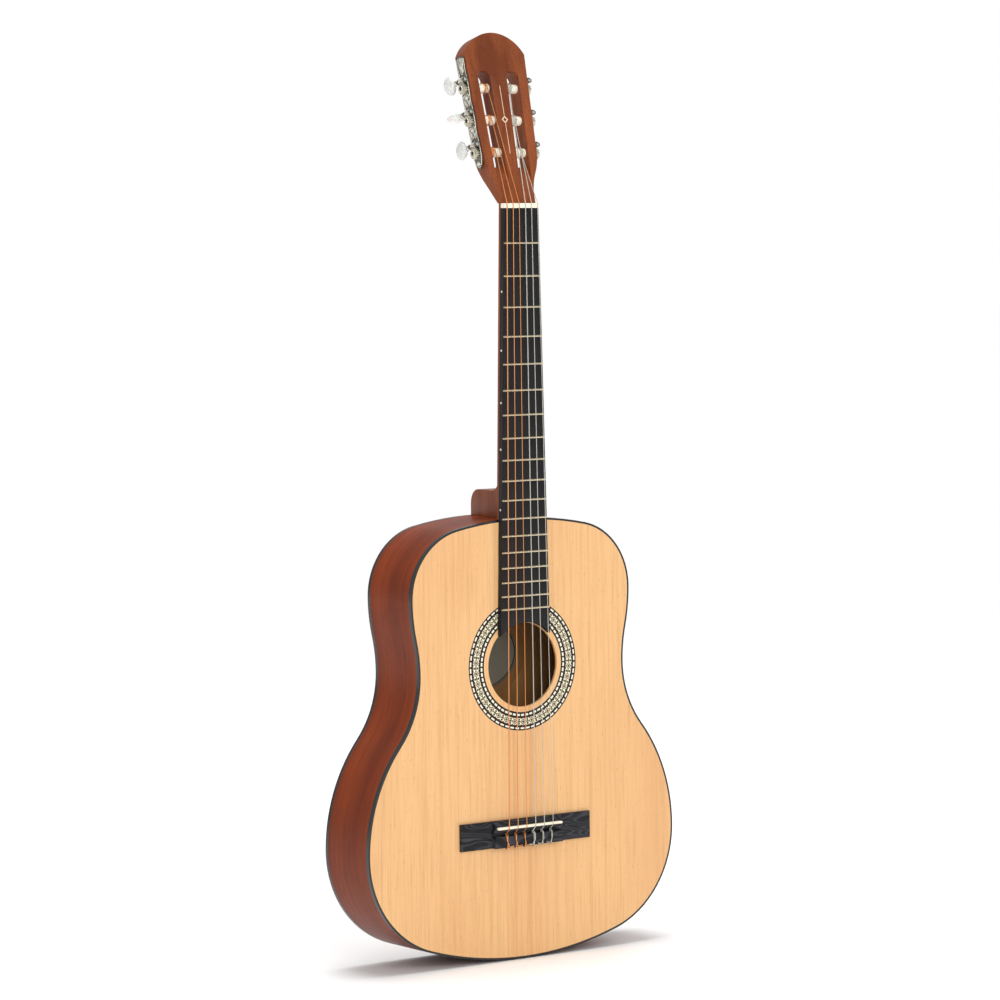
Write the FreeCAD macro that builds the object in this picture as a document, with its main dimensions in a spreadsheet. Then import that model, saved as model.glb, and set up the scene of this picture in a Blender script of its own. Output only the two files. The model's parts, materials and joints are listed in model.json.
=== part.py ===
"""Classical guitar: a hollow wooden body, a heeled neck with a slotted headstock, and six geared tuners.

Frame: +Z runs up the neck and +X towards the treble side. The soundboard's outer face lies in the
plane y = 0 and the body goes back from it along +Y. The origin is on the centre line at the tail.
The head parts are drawn in the head's own frame: x across, y into the wood from the head's face,
z up along the face. A tuner's parts are drawn in the frame of their side of the head, which turns
with the head's taper, so one set of sketches serves both sides.
"""
import FreeCAD, Part
import Sketcher
import math
import os
import re

# Driving sizes in millimetres and degrees: alias, value, meaning.
SIZES = [
    ("scale_length", 650, "nut to saddle"),
    ("body_length", 467, "tail to the neck joint"),
    ("body_depth", 80, "soundboard face to back face"),
    ("lower_bout_width", 398, "widest part of the lower bout"),
    ("lower_bout_height", 124, "its height above the tail"),
    ("waist_width", 266, "narrowest part of the waist"),
    ("waist_drop", 159, "waist below the neck joint"),
    ("upper_bout_swell", 18, "widest part of the upper bout over the waist"),
    ("upper_bout_drop", 80, "its distance below the neck joint"),
    ("tail_radius", 408, "radius of the tail's arc"),
    ("shoulder_radius", 417, "radius of the arc under the neck joint"),
    ("lower_bend_share", 0.62, "lower bout's part of its bend with the waist"),
    ("upper_bend_share", 0.53, "upper bout's part of its bend with the waist"),
    ("soundboard_thickness", 2.5, "spruce top"),
    ("back_thickness", 2.5, "back plate"),
    ("binding_width", 2.2, "binding and side thickness"),
    ("binding_depth", 4.5, "binding height on the side"),
    ("lining_width", 6, "linings inside the sides"),
    ("lining_height", 14, "height of the linings"),
    ("hole_radius", 44.6, "sound hole"),
    ("hole_above_saddle", 170, "sound hole centre above the saddle"),
    ("rosette_gap", 5.7, "rosette channel outside the sound hole"),
    ("rosette_width", 19.5, "rosette channel width"),
    ("rosette_depth", 0.8, "rosette channel depth"),
    ("bar_thickness", 6, "transverse bar thickness"),
    ("bar_height", 14, "transverse bar height"),
    ("bar_clearance", 20, "bars above and below the sound hole"),
    ("strut_width", 5, "fan strut width"),
    ("strut_height", 5, "fan strut height"),
    ("strut_spacing", 24, "fan strut spacing at the lower bar"),
    ("strut_splay", 5, "angle between fan struts"),
    ("strut_gap", 10, "fan struts clear of the bar and the tail block"),
    ("back_bar_spacing", 122, "lowest back bar below the middle one"),
    ("back_bar_below", 51, "middle back bar below the label"),
    ("back_bar_above", 40, "highest back bar above the label"),
    ("neck_block_width", 62, "block under the neck joint"),
    ("neck_block_length", 28, "its length along the body"),
    ("tail_block_width", 74, "block at the tail"),
    ("tail_block_length", 16, "its length along the body"),
    ("label_width", 118, "paper label across"),
    ("label_height", 96, "paper label along the body"),
    ("label_end_drop", 5, "radius of the label's ends, under half its height"),
    ("label_rise", 5, "label centre above the sound hole centre"),
    ("label_thickness", 0.4, "paper"),
    ("board_width_nut", 44.6, "fingerboard at the nut"),
    ("board_width_joint", 58.5, "fingerboard at the neck joint"),
    ("board_thickness", 6, "fingerboard"),
    ("board_end_gap", 0.5, "fingerboard end outside the sound hole"),
    ("fret_height", 1, "fret crown"),
    ("fret_width", 2.2, "fret crown"),
    ("tang_width", 0.6, "fret tang"),
    ("tang_depth", 1.8, "fret tang"),
    ("fret_inset", 0.25, "fret end inside the board's edge"),
    ("dot_radius", 1.15, "side dots"),
    ("dot_depth", 1.2, "side dots"),
    ("nut_thickness", 5, "nut along the strings"),
    ("nut_rise", 2.6, "nut above the fingerboard"),
    ("nut_fall", 1.2, "slope of the nut's top towards the head"),
    ("nut_slot_depth", 1, "string slots in the nut"),
    ("nut_slot_gap", 0.16, "slot beside a string"),
    ("neck_depth_nut", 15, "neck without the board, at the nut"),
    ("neck_depth_joint", 16.5, "neck without the board, at the joint"),
    ("neck_cheek", 3, "straight side of the neck under the board"),
    ("heel_width", 36, "heel next to the neck"),
    ("heel_back_width", 18, "heel at its cap"),
    ("heel_short", 2, "heel short of the back face"),
    ("heel_rise", 28, "heel above the neck joint"),
    ("heel_corner", 16, "radius of the heel's outer corner"),
    ("heel_throat", 15, "radius where the heel meets the neck"),
    ("bridge_length", 168.4, "bridge across the body"),
    ("bridge_channel_width", 6.1, "channel between ridge and tie block"),
    ("bridge_wing_height", 3.2, "bridge wings"),
    ("saddle_show", 3.6, "saddle above the ridge that holds it"),
    ("bridge_ridge_back", 2.8, "ridge behind the saddle line"),
    ("bridge_ridge_fall", 1, "slope of the ridge's top behind the saddle line"),
    ("bridge_front_height", 4.6, "front lip of the ridge"),
    ("bridge_channel_height", 4.4, "channel between ridge and tie block"),
    ("channel_floor", 1, "flat floor of the channel, before it rises to the ridge"),
    ("tie_block_rise", 3.2, "tie block above its holes"),
    ("tie_block_width", 12, "tie block along the strings"),
    ("tie_hole_rise", 1.4, "string holes above the channel"),
    ("tie_hole_clearance", 0.35, "string hole radius over the string's"),
    ("saddle_from_edge", 7.5, "saddle line below the bridge's upper edge"),
    ("saddle_length", 84, "saddle and tie block across"),
    ("saddle_thickness", 2.8, "saddle"),
    ("saddle_floor", 4, "saddle slot floor above the soundboard"),
    ("saddle_rise", 6, "saddle top above the fingerboard's face"),
    ("string_edge_nut", 2.5, "outer strings inside the nut's ends"),
    ("string_span_saddle", 57.5, "outer strings at the saddle"),
    ("string_rest_gap", 0.06, "string clear of what it rests on"),
    ("string_bend", 3, "string's bend at the nut and at its hole"),
    ("tie_loop_radius", 1.3, "bends of the loop behind the tie block"),
    ("tie_loop_gap", 0.9, "loop clear of the tie block"),
    ("tie_lead", 1.3, "straight string past the tie block"),
    ("roller_lead", 4, "straight string before a roller"),
    ("roller_bend", 12, "sideways bend before a roller"),
    ("roller_hold", 110, "angle of the last bend on a roller"),
    ("head_tilt", 14, "head's backward tilt"),
    ("head_face_rise", 2, "head face in front of the neck's top plane, at the nut"),
    ("head_thickness", 18, "head"),
    ("head_taper", 2, "each side of the head opens by this angle"),
    ("head_throat_low", 12, "start of the curve from the neck to the head, which ends level with a roller"),
    ("head_shoulder", 35, "shoulders above the last roller"),
    ("head_crown_radius", 43.5, "arc of the head's top"),
    ("rib_width", 11.9, "wood between the slots, at the nut"),
    ("slot_width", 15.5, "string slot"),
    ("slot_below", 11, "centre of the slot's lower end below the first roller"),
    ("slot_above", 10.5, "centre of the slot's upper end above the last roller"),
    ("ramp_length", 23, "ramp below the slot"),
    ("ramp_depth", 8, "ramp depth where it meets the slot"),
    ("rail_thickness", 11.25, "wood between a slot and the outer face"),
    ("roller_first", 62, "first roller above the nut"),
    ("roller_pitch", 35, "roller spacing"),
    ("roller_radius", 5, "string roller"),
    ("roller_seat", 5, "roller end in the middle rib"),
    ("roller_clearance", 0.06, "roller in its bores"),
    ("roller_end_gap", 0.4, "roller clear of the floor of its seat"),
    ("roller_head_gap", 1, "roller's outer end inside the rail"),
    ("roller_hole", 0.8, "string hole through the roller"),
    ("hole_gap", 1.2, "string hole's middle beyond the turns"),
    ("wrap_turns", 4, "string turns on a roller"),
    ("wrap_gap", 0.35, "a string's last bend clear of its roller and turns"),
    ("plate_thickness", 1.2, "tuner plate"),
    ("plate_half", 7.4, "half width of the plate at a tuner"),
    ("plate_waist", 6, "half width of the plate between tuners"),
    ("plate_foot", 18, "plate below the first roller"),
    ("plate_crown", 36, "plate above the last roller"),
    ("plate_below", 6, "wide part of the plate below a roller"),
    ("plate_above", 14, "wide part of the plate above a roller"),
    ("screw_head_radius", 2.3, "plate screws"),
    ("screw_head_height", 1.1, "plate screws"),
    ("screw_radius", 1.2, "plate screws"),
    ("screw_length", 9, "plate screws in the wood"),
    ("gear_teeth", 14, "tuner gear"),
    ("gear_tip", 6.1, "gear tip radius"),
    ("tooth_depth", 1.4, "gear teeth"),
    ("gear_thickness", 4.4, "gear"),
    ("gear_gap", 0.6, "gear clear of the plate"),
    ("hub_radius", 3.4, "gear hub through the plate"),
    ("hub_clearance", 0.08, "hub and worm shaft in their holes"),
    ("gear_screw_radius", 2.6, "screw that holds the gear"),
    ("gear_screw_height", 1.2, "screw that holds the gear"),
    ("worm_gap", 0.3, "worm clear of the gear's teeth"),
    ("worm_radius", 2.1, "worm body"),
    ("shaft_radius", 1.5, "worm shaft"),
    ("shaft_front", 0.6, "worm shaft in front of its front bearing"),
    ("lug_thickness", 2, "worm bearings"),
    ("lug_half", 2.9, "half width of a worm bearing"),
    ("lug_span", 14, "outer faces of the bearings"),
    ("lug_gap", 0.2, "worm clear of its bearings"),
    ("collar_radius", 2.7, "collar behind the rear bearing"),
    ("collar_length", 2, "collar behind the rear bearing"),
    ("button_gap", 2.3, "button clear of the collar"),
    ("button_length", 18, "button along its shaft"),
    ("button_half", 10.5, "half width of the button"),
    ("button_thickness", 8, "button"),
    ("button_socket", 8, "shaft inside the button"),
]
# Strings from the first, on the treble side, to the sixth: diameter and the roller that takes it.
STRING_DIAMETERS = {1: 0.72, 2: 0.82, 3: 1.02, 4: 0.76, 5: 0.90, 6: 1.10}
STRING_ROLLERS = {1: (1, 0), 2: (1, 1), 3: (1, 2), 4: (-1, 2), 5: (-1, 1), 6: (-1, 0)}
# Where each string's last bend lies on its roller, out from the slot's centre line.
BEND_PLACES = {1: 0.6, 2: -2.4, 3: -4.6, 4: -4.6, 5: -2.4, 6: 0.6}
# How far each button is turned at rest, in degrees.
BUTTON_TURNS = {1: 20, 2: 75, 3: 0, 4: 8, 5: 88, 6: -6}
FRETS = 18
DOTTED_FRETS = [3, 5, 7, 9, 12]

doc = FreeCAD.newDocument("ClassicalGuitar")
sheet = doc.addObject("Spreadsheet::Sheet", "Sizes")
for row, (alias, amount, meaning) in enumerate(SIZES, 1):
    sheet.set(f"A{row}", str(amount))
    sheet.setAlias(f"A{row}", alias)
    sheet.set(f"B{row}", meaning)
doc.recompute()
ALIASES = re.compile(r"\b(" + "|".join(alias for alias, _, _ in SIZES) + r")\b")
SUBPARTS = []
CUTS = []

# Heights and widths that follow from the driving sizes, as expressions of the sheet.
NUT_Z = "(body_length + scale_length / 2)"
SADDLE_Z = "(body_length - scale_length / 2)"
HOLE_Z = f"({SADDLE_Z} + hole_above_saddle)"
BACK_INNER = "(body_depth - back_thickness)"
ROSETTE_INNER = "(hole_radius + rosette_gap)"
ROSETTE_OUTER = f"({ROSETTE_INNER} + rosette_width)"
LABEL_Z = f"({HOLE_Z} + label_rise)"
BACK_BAR_MIDDLE = f"({LABEL_Z} - label_height / 2 - back_bar_below)"
BACK_BARS = (f"({BACK_BAR_MIDDLE} - back_bar_spacing)", BACK_BAR_MIDDLE,
             f"({LABEL_Z} + label_height / 2 + back_bar_above)")
HEEL_DEPTH = "(body_depth - heel_short)"
BRIDGE_TOP = f"({SADDLE_Z} + saddle_from_edge)"
TIE_FRONT = f"({SADDLE_Z} - bridge_ridge_back - bridge_channel_width)"
BRIDGE_LOW = f"({TIE_FRONT} - tie_block_width)"
TIE_HOLE = "(bridge_channel_height + tie_hole_rise)"
TIE_BLOCK = f"({TIE_HOLE} + tie_block_rise)"
SADDLE_TOP = "(board_thickness + saddle_rise)"
RIDGE_HEIGHT = f"({SADDLE_TOP} - saddle_show)"
NUT_HEIGHT = "(board_thickness + nut_rise)"
NUT_SLOT = f"({NUT_HEIGHT} - nut_slot_depth)"
NUT_SPAN = "(board_width_nut - 2 * string_edge_nut)"
SLOT_WALL = "(slot_width / 2)"
SLOT_OFFSET = f"(rib_width / 2 + {SLOT_WALL})"
RAIL_FACE = f"({SLOT_WALL} + rail_thickness)"
LAST_ROLLER = "(roller_first + 2 * roller_pitch)"
SLOT_LOW = "(roller_first - slot_below)"
SLOT_HIGH = f"({LAST_ROLLER} + slot_above)"
SHOULDER = f"({LAST_ROLLER} + head_shoulder)"
ROLLER_DEPTH = "(head_thickness / 2)"
ROLLER_INNER = f"({SLOT_WALL} + roller_seat - roller_end_gap)"
ROLLER_OUTER = f"({RAIL_FACE} - roller_head_gap)"
PLATE_OUTER = f"({RAIL_FACE} + plate_thickness)"
GEAR_INNER = f"({PLATE_OUTER} + gear_gap)"
GEAR_ROOT = "(gear_tip - tooth_depth)"
WORM_OUT = f"({GEAR_INNER} + gear_thickness / 2)"
WORM_DISTANCE = "(gear_tip + worm_radius + worm_gap)"
LUG_FRONT = f"({ROLLER_DEPTH} - lug_span / 2)"
LUG_BACK = f"({LUG_FRONT} + lug_span - lug_thickness)"
COLLAR = f"({LUG_BACK} + lug_thickness + lug_gap)"
BUTTON_START = f"({COLLAR} + collar_length + button_gap)"


def bound(text):
    """The expression with each size name pointing into the sheet."""
    return ALIASES.sub(r"Sizes.\1", text)


def number(text):
    """The present value of an expression of the sheet's sizes."""
    return float(sheet.evalExpression(text))


def string_x(which, span):
    """A string's distance from the centre line, for a span between the outer strings."""
    return f"({span} * {(3.5 - which) / 5})"


def board_width(height):
    """The fingerboard's width at a height, as an expression."""
    share = f"({NUT_Z} - {height}) / (scale_length / 2)"
    return f"(board_width_nut + (board_width_joint - board_width_nut) * {share})"


def fret_height_on_neck(which):
    """The height of a fret above the tail."""
    return f"({NUT_Z} - scale_length * (1 - pow(2; -{which} / 12)))"


def placement(x, y, z, axis=(0, 0, 1), angle="0"):
    """A placement as an expression."""
    turn = f"create(<<rotation>>; create(<<vector>>; {axis[0]}; {axis[1]}; {axis[2]}); {angle})"
    return f"create(<<placement>>; create(<<vector>>; {x}; {y}; {z}); {turn})"


HEAD_FRAME = placement("0", "-head_face_rise", NUT_Z, (1, 0, 0), "-head_tilt")


def side_frame(side):
    """The frame of the bass (-1) or treble (1) side of the head, within the head's frame."""
    return placement(f"{side} * {SLOT_OFFSET}", "0", "0", (0, 1, 0), f"{side} * head_taper")


def roller_frame(side, place):
    """A roller's frame in the row: its axis is x."""
    spot = placement("0", ROLLER_DEPTH, f"roller_first + {place} * roller_pitch")
    return f"{HEAD_FRAME} * {side_frame(side)} * {spot}"


def worm_frame(side, place):
    """A worm's frame in the row: its axis is y, and its origin lies level with the head's face."""
    height = f"roller_first + {place} * roller_pitch + {WORM_DISTANCE}"
    return f"{HEAD_FRAME} * {side_frame(side)} * {placement(f'{side} * {WORM_OUT}', '0', height)}"


def place(item, frame):
    """Bind an object's placement to the sheet."""
    item.setExpression("Placement", bound(frame))
    return item


def keep(item, label):
    """Name a sub-part and list it for writing."""
    item.Label = label
    SUBPARTS.append(item)
    return item


def body(name):
    """A new PartDesign body."""
    return doc.addObject("PartDesign::Body", name)


class Drawing:
    """A sketch on one of a body's origin planes whose points and radii are bound to the sheet."""

    def __init__(self, owner, plane, offset="0"):
        support = next(item for item in owner.Origin.OriginFeatures if item.Role == plane)
        self.sketch = owner.newObject("Sketcher::SketchObject", owner.Name + "Sketch")
        self.sketch.AttachmentSupport = [(support, "")]
        self.sketch.MapMode = "FlatFace"
        self.sketch.setExpression("AttachmentOffset.Base.z", bound(offset))

    def bind(self, kind, *where, text):
        """Add one dimension, driven by an expression."""
        index = self.sketch.addConstraint(Sketcher.Constraint(kind, *where, number(text)))
        self.sketch.setExpression(f"Constraints[{index}]", bound(text))

    def pin_point(self, edge, end, u, v):
        """Fix an edge's end, or a circle's centre, at (u, v)."""
        self.bind("DistanceX", -1, 1, edge, end, text=u)
        self.bind("DistanceY", -1, 1, edge, end, text=v)

    def circle(self, u, v, radius):
        """Add a circle."""
        centre = FreeCAD.Vector(number(u), number(v), 0)
        up = FreeCAD.Vector(0, 0, 1)
        edge = self.sketch.addGeometry(Part.Circle(centre, up, number(radius)), False)
        self.pin_point(edge, 3, u, v)
        self.bind("Radius", edge, text=radius)
        return self

    def contour(self, *corners):
        """Add a closed line. A corner is (u, v), or (u, v, radius, side) where an arc starts.

        The arc's centre is to the left of the way along the contour for side 1, to the right for -1.
        """
        spots = [FreeCAD.Vector(number(c[0]), number(c[1]), 0) for c in corners]
        edges = []
        for index, corner in enumerate(corners):
            start, end = spots[index], spots[(index + 1) % len(spots)]
            if len(corner) == 2:
                edges.append((self.sketch.addGeometry(Part.LineSegment(start, end), False), 1, 2))
            else:
                edges.append(self.arc(start, end, corner[2], corner[3]))
        for index, corner in enumerate(corners):
            edge, first, last = edges[index]
            after, onward, _ = edges[(index + 1) % len(edges)]
            self.sketch.addConstraint(Sketcher.Constraint("Coincident", edge, last, after, onward))
            self.pin_point(edge, first, corner[0], corner[1])
            if len(corner) == 4:
                self.bind("Radius", edge, text=corner[2])
        return self

    def arc(self, start, end, radius, side):
        """Add an arc of under half a turn, and say which of its ends is first."""
        chord = end - start
        size = number(radius)
        rise = math.sqrt(max(size**2 - (chord.Length / 2) ** 2, 0))
        left = FreeCAD.Vector(-chord.y, chord.x, 0).normalize()
        centre = (start + end) * 0.5 + left * (side * rise)
        circle = Part.Circle(centre, FreeCAD.Vector(0, 0, 1), size)
        angles = [math.atan2(p.y - centre.y, p.x - centre.x) for p in (start, end)]
        if side < 0:
            angles.reverse()
        edge = self.sketch.addGeometry(Part.ArcOfCircle(circle, *angles), False)
        return (edge, 1, 2) if side > 0 else (edge, 2, 1)


def pad(owner, drawing, length, back=False, both=False):
    """Add material along the sketch's normal, against it (back) or both ways."""
    feature = owner.newObject("PartDesign::Pad", owner.Name + "Pad")
    feature.Profile = drawing.sketch
    feature.setExpression("Length", bound(length))
    feature.Reversed = back
    feature.SideType = "Symmetric" if both else "One side"
    return feature


def pocket(owner, drawing, length=None, along=False, both=False):
    """Cut against the sketch's normal, along it or both ways; right through when no length is given."""
    before = owner.Tip
    feature = owner.newObject("PartDesign::Pocket", owner.Name + "Pocket")
    feature.Profile = drawing.sketch
    if length:
        feature.setExpression("Length", bound(length))
    else:
        feature.Type = "ThroughAll"
    feature.Reversed = along
    feature.SideType = "Symmetric" if both else "One side"
    CUTS.append((before, feature))
    return feature


def box(name, x, y, z, length, width, height):
    """A Part box from its lowest corner and its sizes."""
    item = doc.addObject("Part::Box", name)
    for prop, text in (("Length", length), ("Width", width), ("Height", height)):
        item.setExpression(prop, bound(text))
    return place(item, placement(x, y, z))


def boolean(kind, name, base, tool):
    """A Part cut or common of two objects."""
    item = doc.addObject("Part::" + kind, name)
    item.Base, item.Tool = base, tool
    return item


def compound(name, items):
    """Several separate solids as one object."""
    item = doc.addObject("Part::Compound", name)
    item.Links = items
    return item


# ---- Body outline -----------------------------------------------------------------------------
# Each side is six arcs: tail corner, lower bout, waist (two), upper bout and shoulder corner. The
# tail and shoulder arcs cross the centre line. Every pair is tangent, so an inset keeps the centres.

LOWER_HALF = "(lower_bout_width / 2)"
UPPER_HALF = "((waist_width + upper_bout_swell) / 2)"
WAIST_HALF = "(waist_width / 2)"
WAIST_Z = "(body_length - waist_drop)"
UPPER_Z = "(body_length - upper_bout_drop)"


def corner_radius(end_radius, half, distance):
    """Radius of the corner between an end arc and a bout whose widest point is at a distance."""
    top = f"2 * {distance} * {end_radius} - {distance} * {distance} - {half} * {half}"
    return f"(({top}) / (2 * {end_radius} - 2 * {half}))"


def bend_sum(half, height):
    """Sum of a bout's radius and the waist's radius where one runs into the other."""
    rise = f"({WAIST_Z} - {height})"
    step = f"({half} - {WAIST_HALF})"
    return f"(({step} * {step} + {rise} * {rise}) / (2 * {step}))"


def between(start, end, share):
    """A coordinate on the line from start to end."""
    return f"({start} + ({end} - {start}) * {share})"


TAIL_CORNER = corner_radius("tail_radius", LOWER_HALF, "lower_bout_height")
SHOULDER_CORNER = corner_radius("shoulder_radius", UPPER_HALF, "upper_bout_drop")
LOWER_SUM = bend_sum(LOWER_HALF, "lower_bout_height")
UPPER_SUM = bend_sum(UPPER_HALF, UPPER_Z)
LOWER_BEND = f"({LOWER_SUM} * lower_bend_share)"
UPPER_BEND = f"({UPPER_SUM} * upper_bend_share)"


def outline(inset):
    """The corners of the body's outline, moved in by inset, for Drawing.contour."""
    tail_share = f"(tail_radius - {inset}) / (tail_radius - {TAIL_CORNER})"
    lower_share = f"({LOWER_BEND} - {inset}) / {LOWER_SUM}"
    upper_share = f"({UPPER_BEND} - {inset}) / {UPPER_SUM}"
    shoulder_share = f"(shoulder_radius - {inset}) / (shoulder_radius - {SHOULDER_CORNER})"
    tail_x = f"(({LOWER_HALF} - {TAIL_CORNER}) * {tail_share})"
    tail_z = between("tail_radius", "lower_bout_height", tail_share)
    lower_x = between(f"({LOWER_HALF} - {LOWER_BEND})",
                      f"({WAIST_HALF} + {LOWER_SUM} - {LOWER_BEND})", lower_share)
    lower_z = between("lower_bout_height", WAIST_Z, lower_share)
    upper_x = between(f"({UPPER_HALF} - {UPPER_BEND})",
                      f"({WAIST_HALF} + {UPPER_SUM} - {UPPER_BEND})", upper_share)
    upper_z = between(UPPER_Z, WAIST_Z, upper_share)
    shoulder_x = f"(({UPPER_HALF} - {SHOULDER_CORNER}) * {shoulder_share})"
    shoulder_z = between("(body_length - shoulder_radius)", UPPER_Z, shoulder_share)
    tail_r, shoulder_r = f"({TAIL_CORNER} - {inset})", f"({SHOULDER_CORNER} - {inset})"
    lower_r, upper_r = f"({LOWER_BEND} - {inset})", f"({UPPER_BEND} - {inset})"
    low_waist_r = f"({LOWER_SUM} - {LOWER_BEND} + {inset})"
    high_waist_r = f"({UPPER_SUM} - {UPPER_BEND} + {inset})"
    lower_w, waist_w, upper_w = (f"({half} - {inset})" for half in (LOWER_HALF, WAIST_HALF, UPPER_HALF))
    return [
        (tail_x, tail_z, tail_r, 1),
        (lower_w, "lower_bout_height", lower_r, 1),
        (lower_x, lower_z, low_waist_r, -1),
        (waist_w, WAIST_Z, high_waist_r, -1),
        (upper_x, upper_z, upper_r, 1),
        (upper_w, UPPER_Z, shoulder_r, 1),
        (shoulder_x, shoulder_z, f"(shoulder_radius - {inset})", 1),
        ("-" + shoulder_x, shoulder_z, shoulder_r, 1),
        ("-" + upper_w, UPPER_Z, upper_r, 1),
        ("-" + upper_x, upper_z, high_waist_r, -1),
        ("-" + waist_w, WAIST_Z, low_waist_r, -1),
        ("-" + lower_x, lower_z, lower_r, 1),
        ("-" + lower_w, "lower_bout_height", tail_r, 1),
        ("-" + tail_x, tail_z, f"(tail_radius - {inset})", 1),
    ]


def plate_between(name, inset, front, depth, hole_inset=None):
    """The outline moved in by inset, from y = front over a depth; a ring if hole_inset is given."""
    item = body(name)
    drawing = Drawing(item, "XZ_Plane", f"-({front})").contour(*outline(inset))
    if hole_inset:
        drawing.contour(*outline(hole_inset))
    pad(item, drawing, depth, back=True)
    return item


# ---- Body -------------------------------------------------------------------------------------

def make_soundboard():
    """Spruce top with the sound hole and the rosette's channel."""
    board = plate_between("Soundboard", "binding_width", "0", "soundboard_thickness")
    pocket(board, Drawing(board, "XZ_Plane").circle("0", HOLE_Z, "hole_radius"), both=True)
    channel = Drawing(board, "XZ_Plane")
    channel.circle("0", HOLE_Z, ROSETTE_OUTER).circle("0", HOLE_Z, ROSETTE_INNER)
    pocket(board, channel, "rosette_depth")
    keep(board, "soundboard")
    rosette = body("Rosette")
    ring = Drawing(rosette, "XZ_Plane")
    ring.circle("0", HOLE_Z, ROSETTE_OUTER).circle("0", HOLE_Z, ROSETTE_INNER)
    pad(rosette, ring, "rosette_depth", back=True)
    keep(rosette, "rosette")


def make_back():
    """Back plate, and the paper label on its inner face under the sound hole."""
    keep(plate_between("Back", "binding_width", BACK_INNER, "back_thickness"), "back_plate")
    label = body("Label")
    end, width, height = "(label_height / 2 - label_end_drop)", "(label_width / 2)", "(label_height / 2)"
    reach = f"({width} - {end})"
    flat = f"(({reach} * {reach} + {height} * {height} - {end} * {end}) / (2 * ({height} - {end})))"
    share = f"({flat} / ({flat} - {end}))"
    u, v = f"({reach} * {share})", f"(({flat} - {height}) * ({share} - 1))"
    oval = Drawing(label, "XZ_Plane", f"-({BACK_INNER} - label_thickness)").contour(
        (u, f"({LABEL_Z} - {v})", end, 1),
        (u, f"({LABEL_Z} + {v})", flat, 1),
        ("-" + u, f"({LABEL_Z} + {v})", end, 1),
        ("-" + u, f"({LABEL_Z} - {v})", flat, 1),
    )
    pad(label, oval, "label_thickness", back=True)
    keep(label, "label")


def make_sides():
    """The two bent sides, which meet at the tail and under the neck."""
    for name, label, sign in (("SideBass", "side_bass", 1), ("SideTreble", "side_treble", -1)):
        side = plate_between(name, "0", "binding_depth", "(body_depth - 2 * binding_depth)", "binding_width")
        reach = f"({sign} * lower_bout_width)"
        other_half = Drawing(side, "XZ_Plane").contour(
            ("0", "-10"), (reach, "-10"), (reach, "(body_length + 10)"), ("0", "(body_length + 10)")
        )
        pocket(side, other_half, both=True)
        keep(side, label)


def make_bindings():
    """The black strips let into the edges of the soundboard and the back."""
    keep(plate_between("TopBinding", "0", "0", "binding_depth", "binding_width"), "top_binding")
    front = "(body_depth - binding_depth)"
    keep(plate_between("BackBinding", "0", front, "binding_depth", "binding_width"), "back_binding")


def make_blocks():
    """Neck block and tail block, shaped to the inside of the body."""
    space = plate_between("InnerSpace", "binding_width", "soundboard_thickness",
                          f"({BACK_INNER} - soundboard_thickness)")
    height = f"({BACK_INNER} - soundboard_thickness)"
    blocks = []
    for name, label, low in (("NeckBlock", "neck_block", "(body_length - neck_block_length)"),
                             ("TailBlock", "tail_block", "0")):
        size = label + "_"
        raw = box(name + "Raw", f"(-{size}width / 2)", "soundboard_thickness", low,
                  size + "width", height, size + "length")
        blocks.append(keep(boolean("Common", name, raw, space), label))
    return blocks


def make_linings(blocks):
    """Glue strips along both edges of the sides, interrupted by the blocks."""
    strips = []
    for name, front in (("Front", "soundboard_thickness"), ("Back", f"({BACK_INNER} - lining_height)")):
        strip = plate_between("Lining" + name, "binding_width", front, "lining_height",
                              "(binding_width + lining_width)")
        strips.append(strip)
    stops = compound("LiningStops", blocks)
    keep(boolean("Cut", "Linings", compound("LiningStrips", strips), stops), "linings")


def make_braces():
    """Bars and fan struts under the soundboard, and three bars across the back."""
    room = plate_between("BraceRoom", "(binding_width + lining_width)", "0", "body_depth")
    bar_low = f"({HOLE_Z} - hole_radius - bar_clearance - bar_thickness)"
    bar_high = f"({HOLE_Z} + hole_radius + bar_clearance)"
    bars = [
        box("SoundboardBar", "(-lower_bout_width / 2)", "soundboard_thickness", low,
            "lower_bout_width", "bar_height", "bar_thickness")
        for low in (bar_low, bar_high)
    ]
    strut_top = f"({bar_low} - strut_gap)"
    length = f"({strut_top} - tail_block_length - 2 * strut_gap)"
    for index in range(-2, 3):
        strut = doc.addObject("Part::Box", "FanStrut")
        strut.setExpression("Length", bound("strut_width"))
        strut.setExpression("Width", bound("strut_height"))
        strut.setExpression("Height", bound(length))
        hang = placement(f"({index} * strut_spacing)", "soundboard_thickness", strut_top,
                         (0, 1, 0), f"(180 - {index} * strut_splay)")
        middle = placement("(-strut_width / 2)", "0", "0")
        bars.append(place(strut, f"{hang} * {middle}"))
    keep(boolean("Common", "SoundboardBraces", compound("SoundboardBars", bars), room), "soundboard_braces")
    back_bars = [
        box("BackBar", "(-lower_bout_width / 2)", f"({BACK_INNER} - bar_height)", low,
            "lower_bout_width", "bar_height", "bar_thickness")
        for low in BACK_BARS
    ]
    keep(boolean("Common", "BackBraces", compound("BackBars", back_bars), room), "back_braces")


# ---- Bridge -----------------------------------------------------------------------------------

def saddle_shape(owner, height):
    """The saddle's rounded bar, seen from the front, at a height above the soundboard."""
    half, thick = "(saddle_length / 2)", "(saddle_thickness / 2)"
    low, high = f"({SADDLE_Z} - {thick})", f"({SADDLE_Z} + {thick})"
    inner, end = f"({half} - {thick})", f"({thick} * 1.02)"
    return Drawing(owner, "XZ_Plane", height).contour(
        (inner, low, end, 1), (inner, high), ("-" + inner, high, end, 1), ("-" + inner, low)
    )


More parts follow.
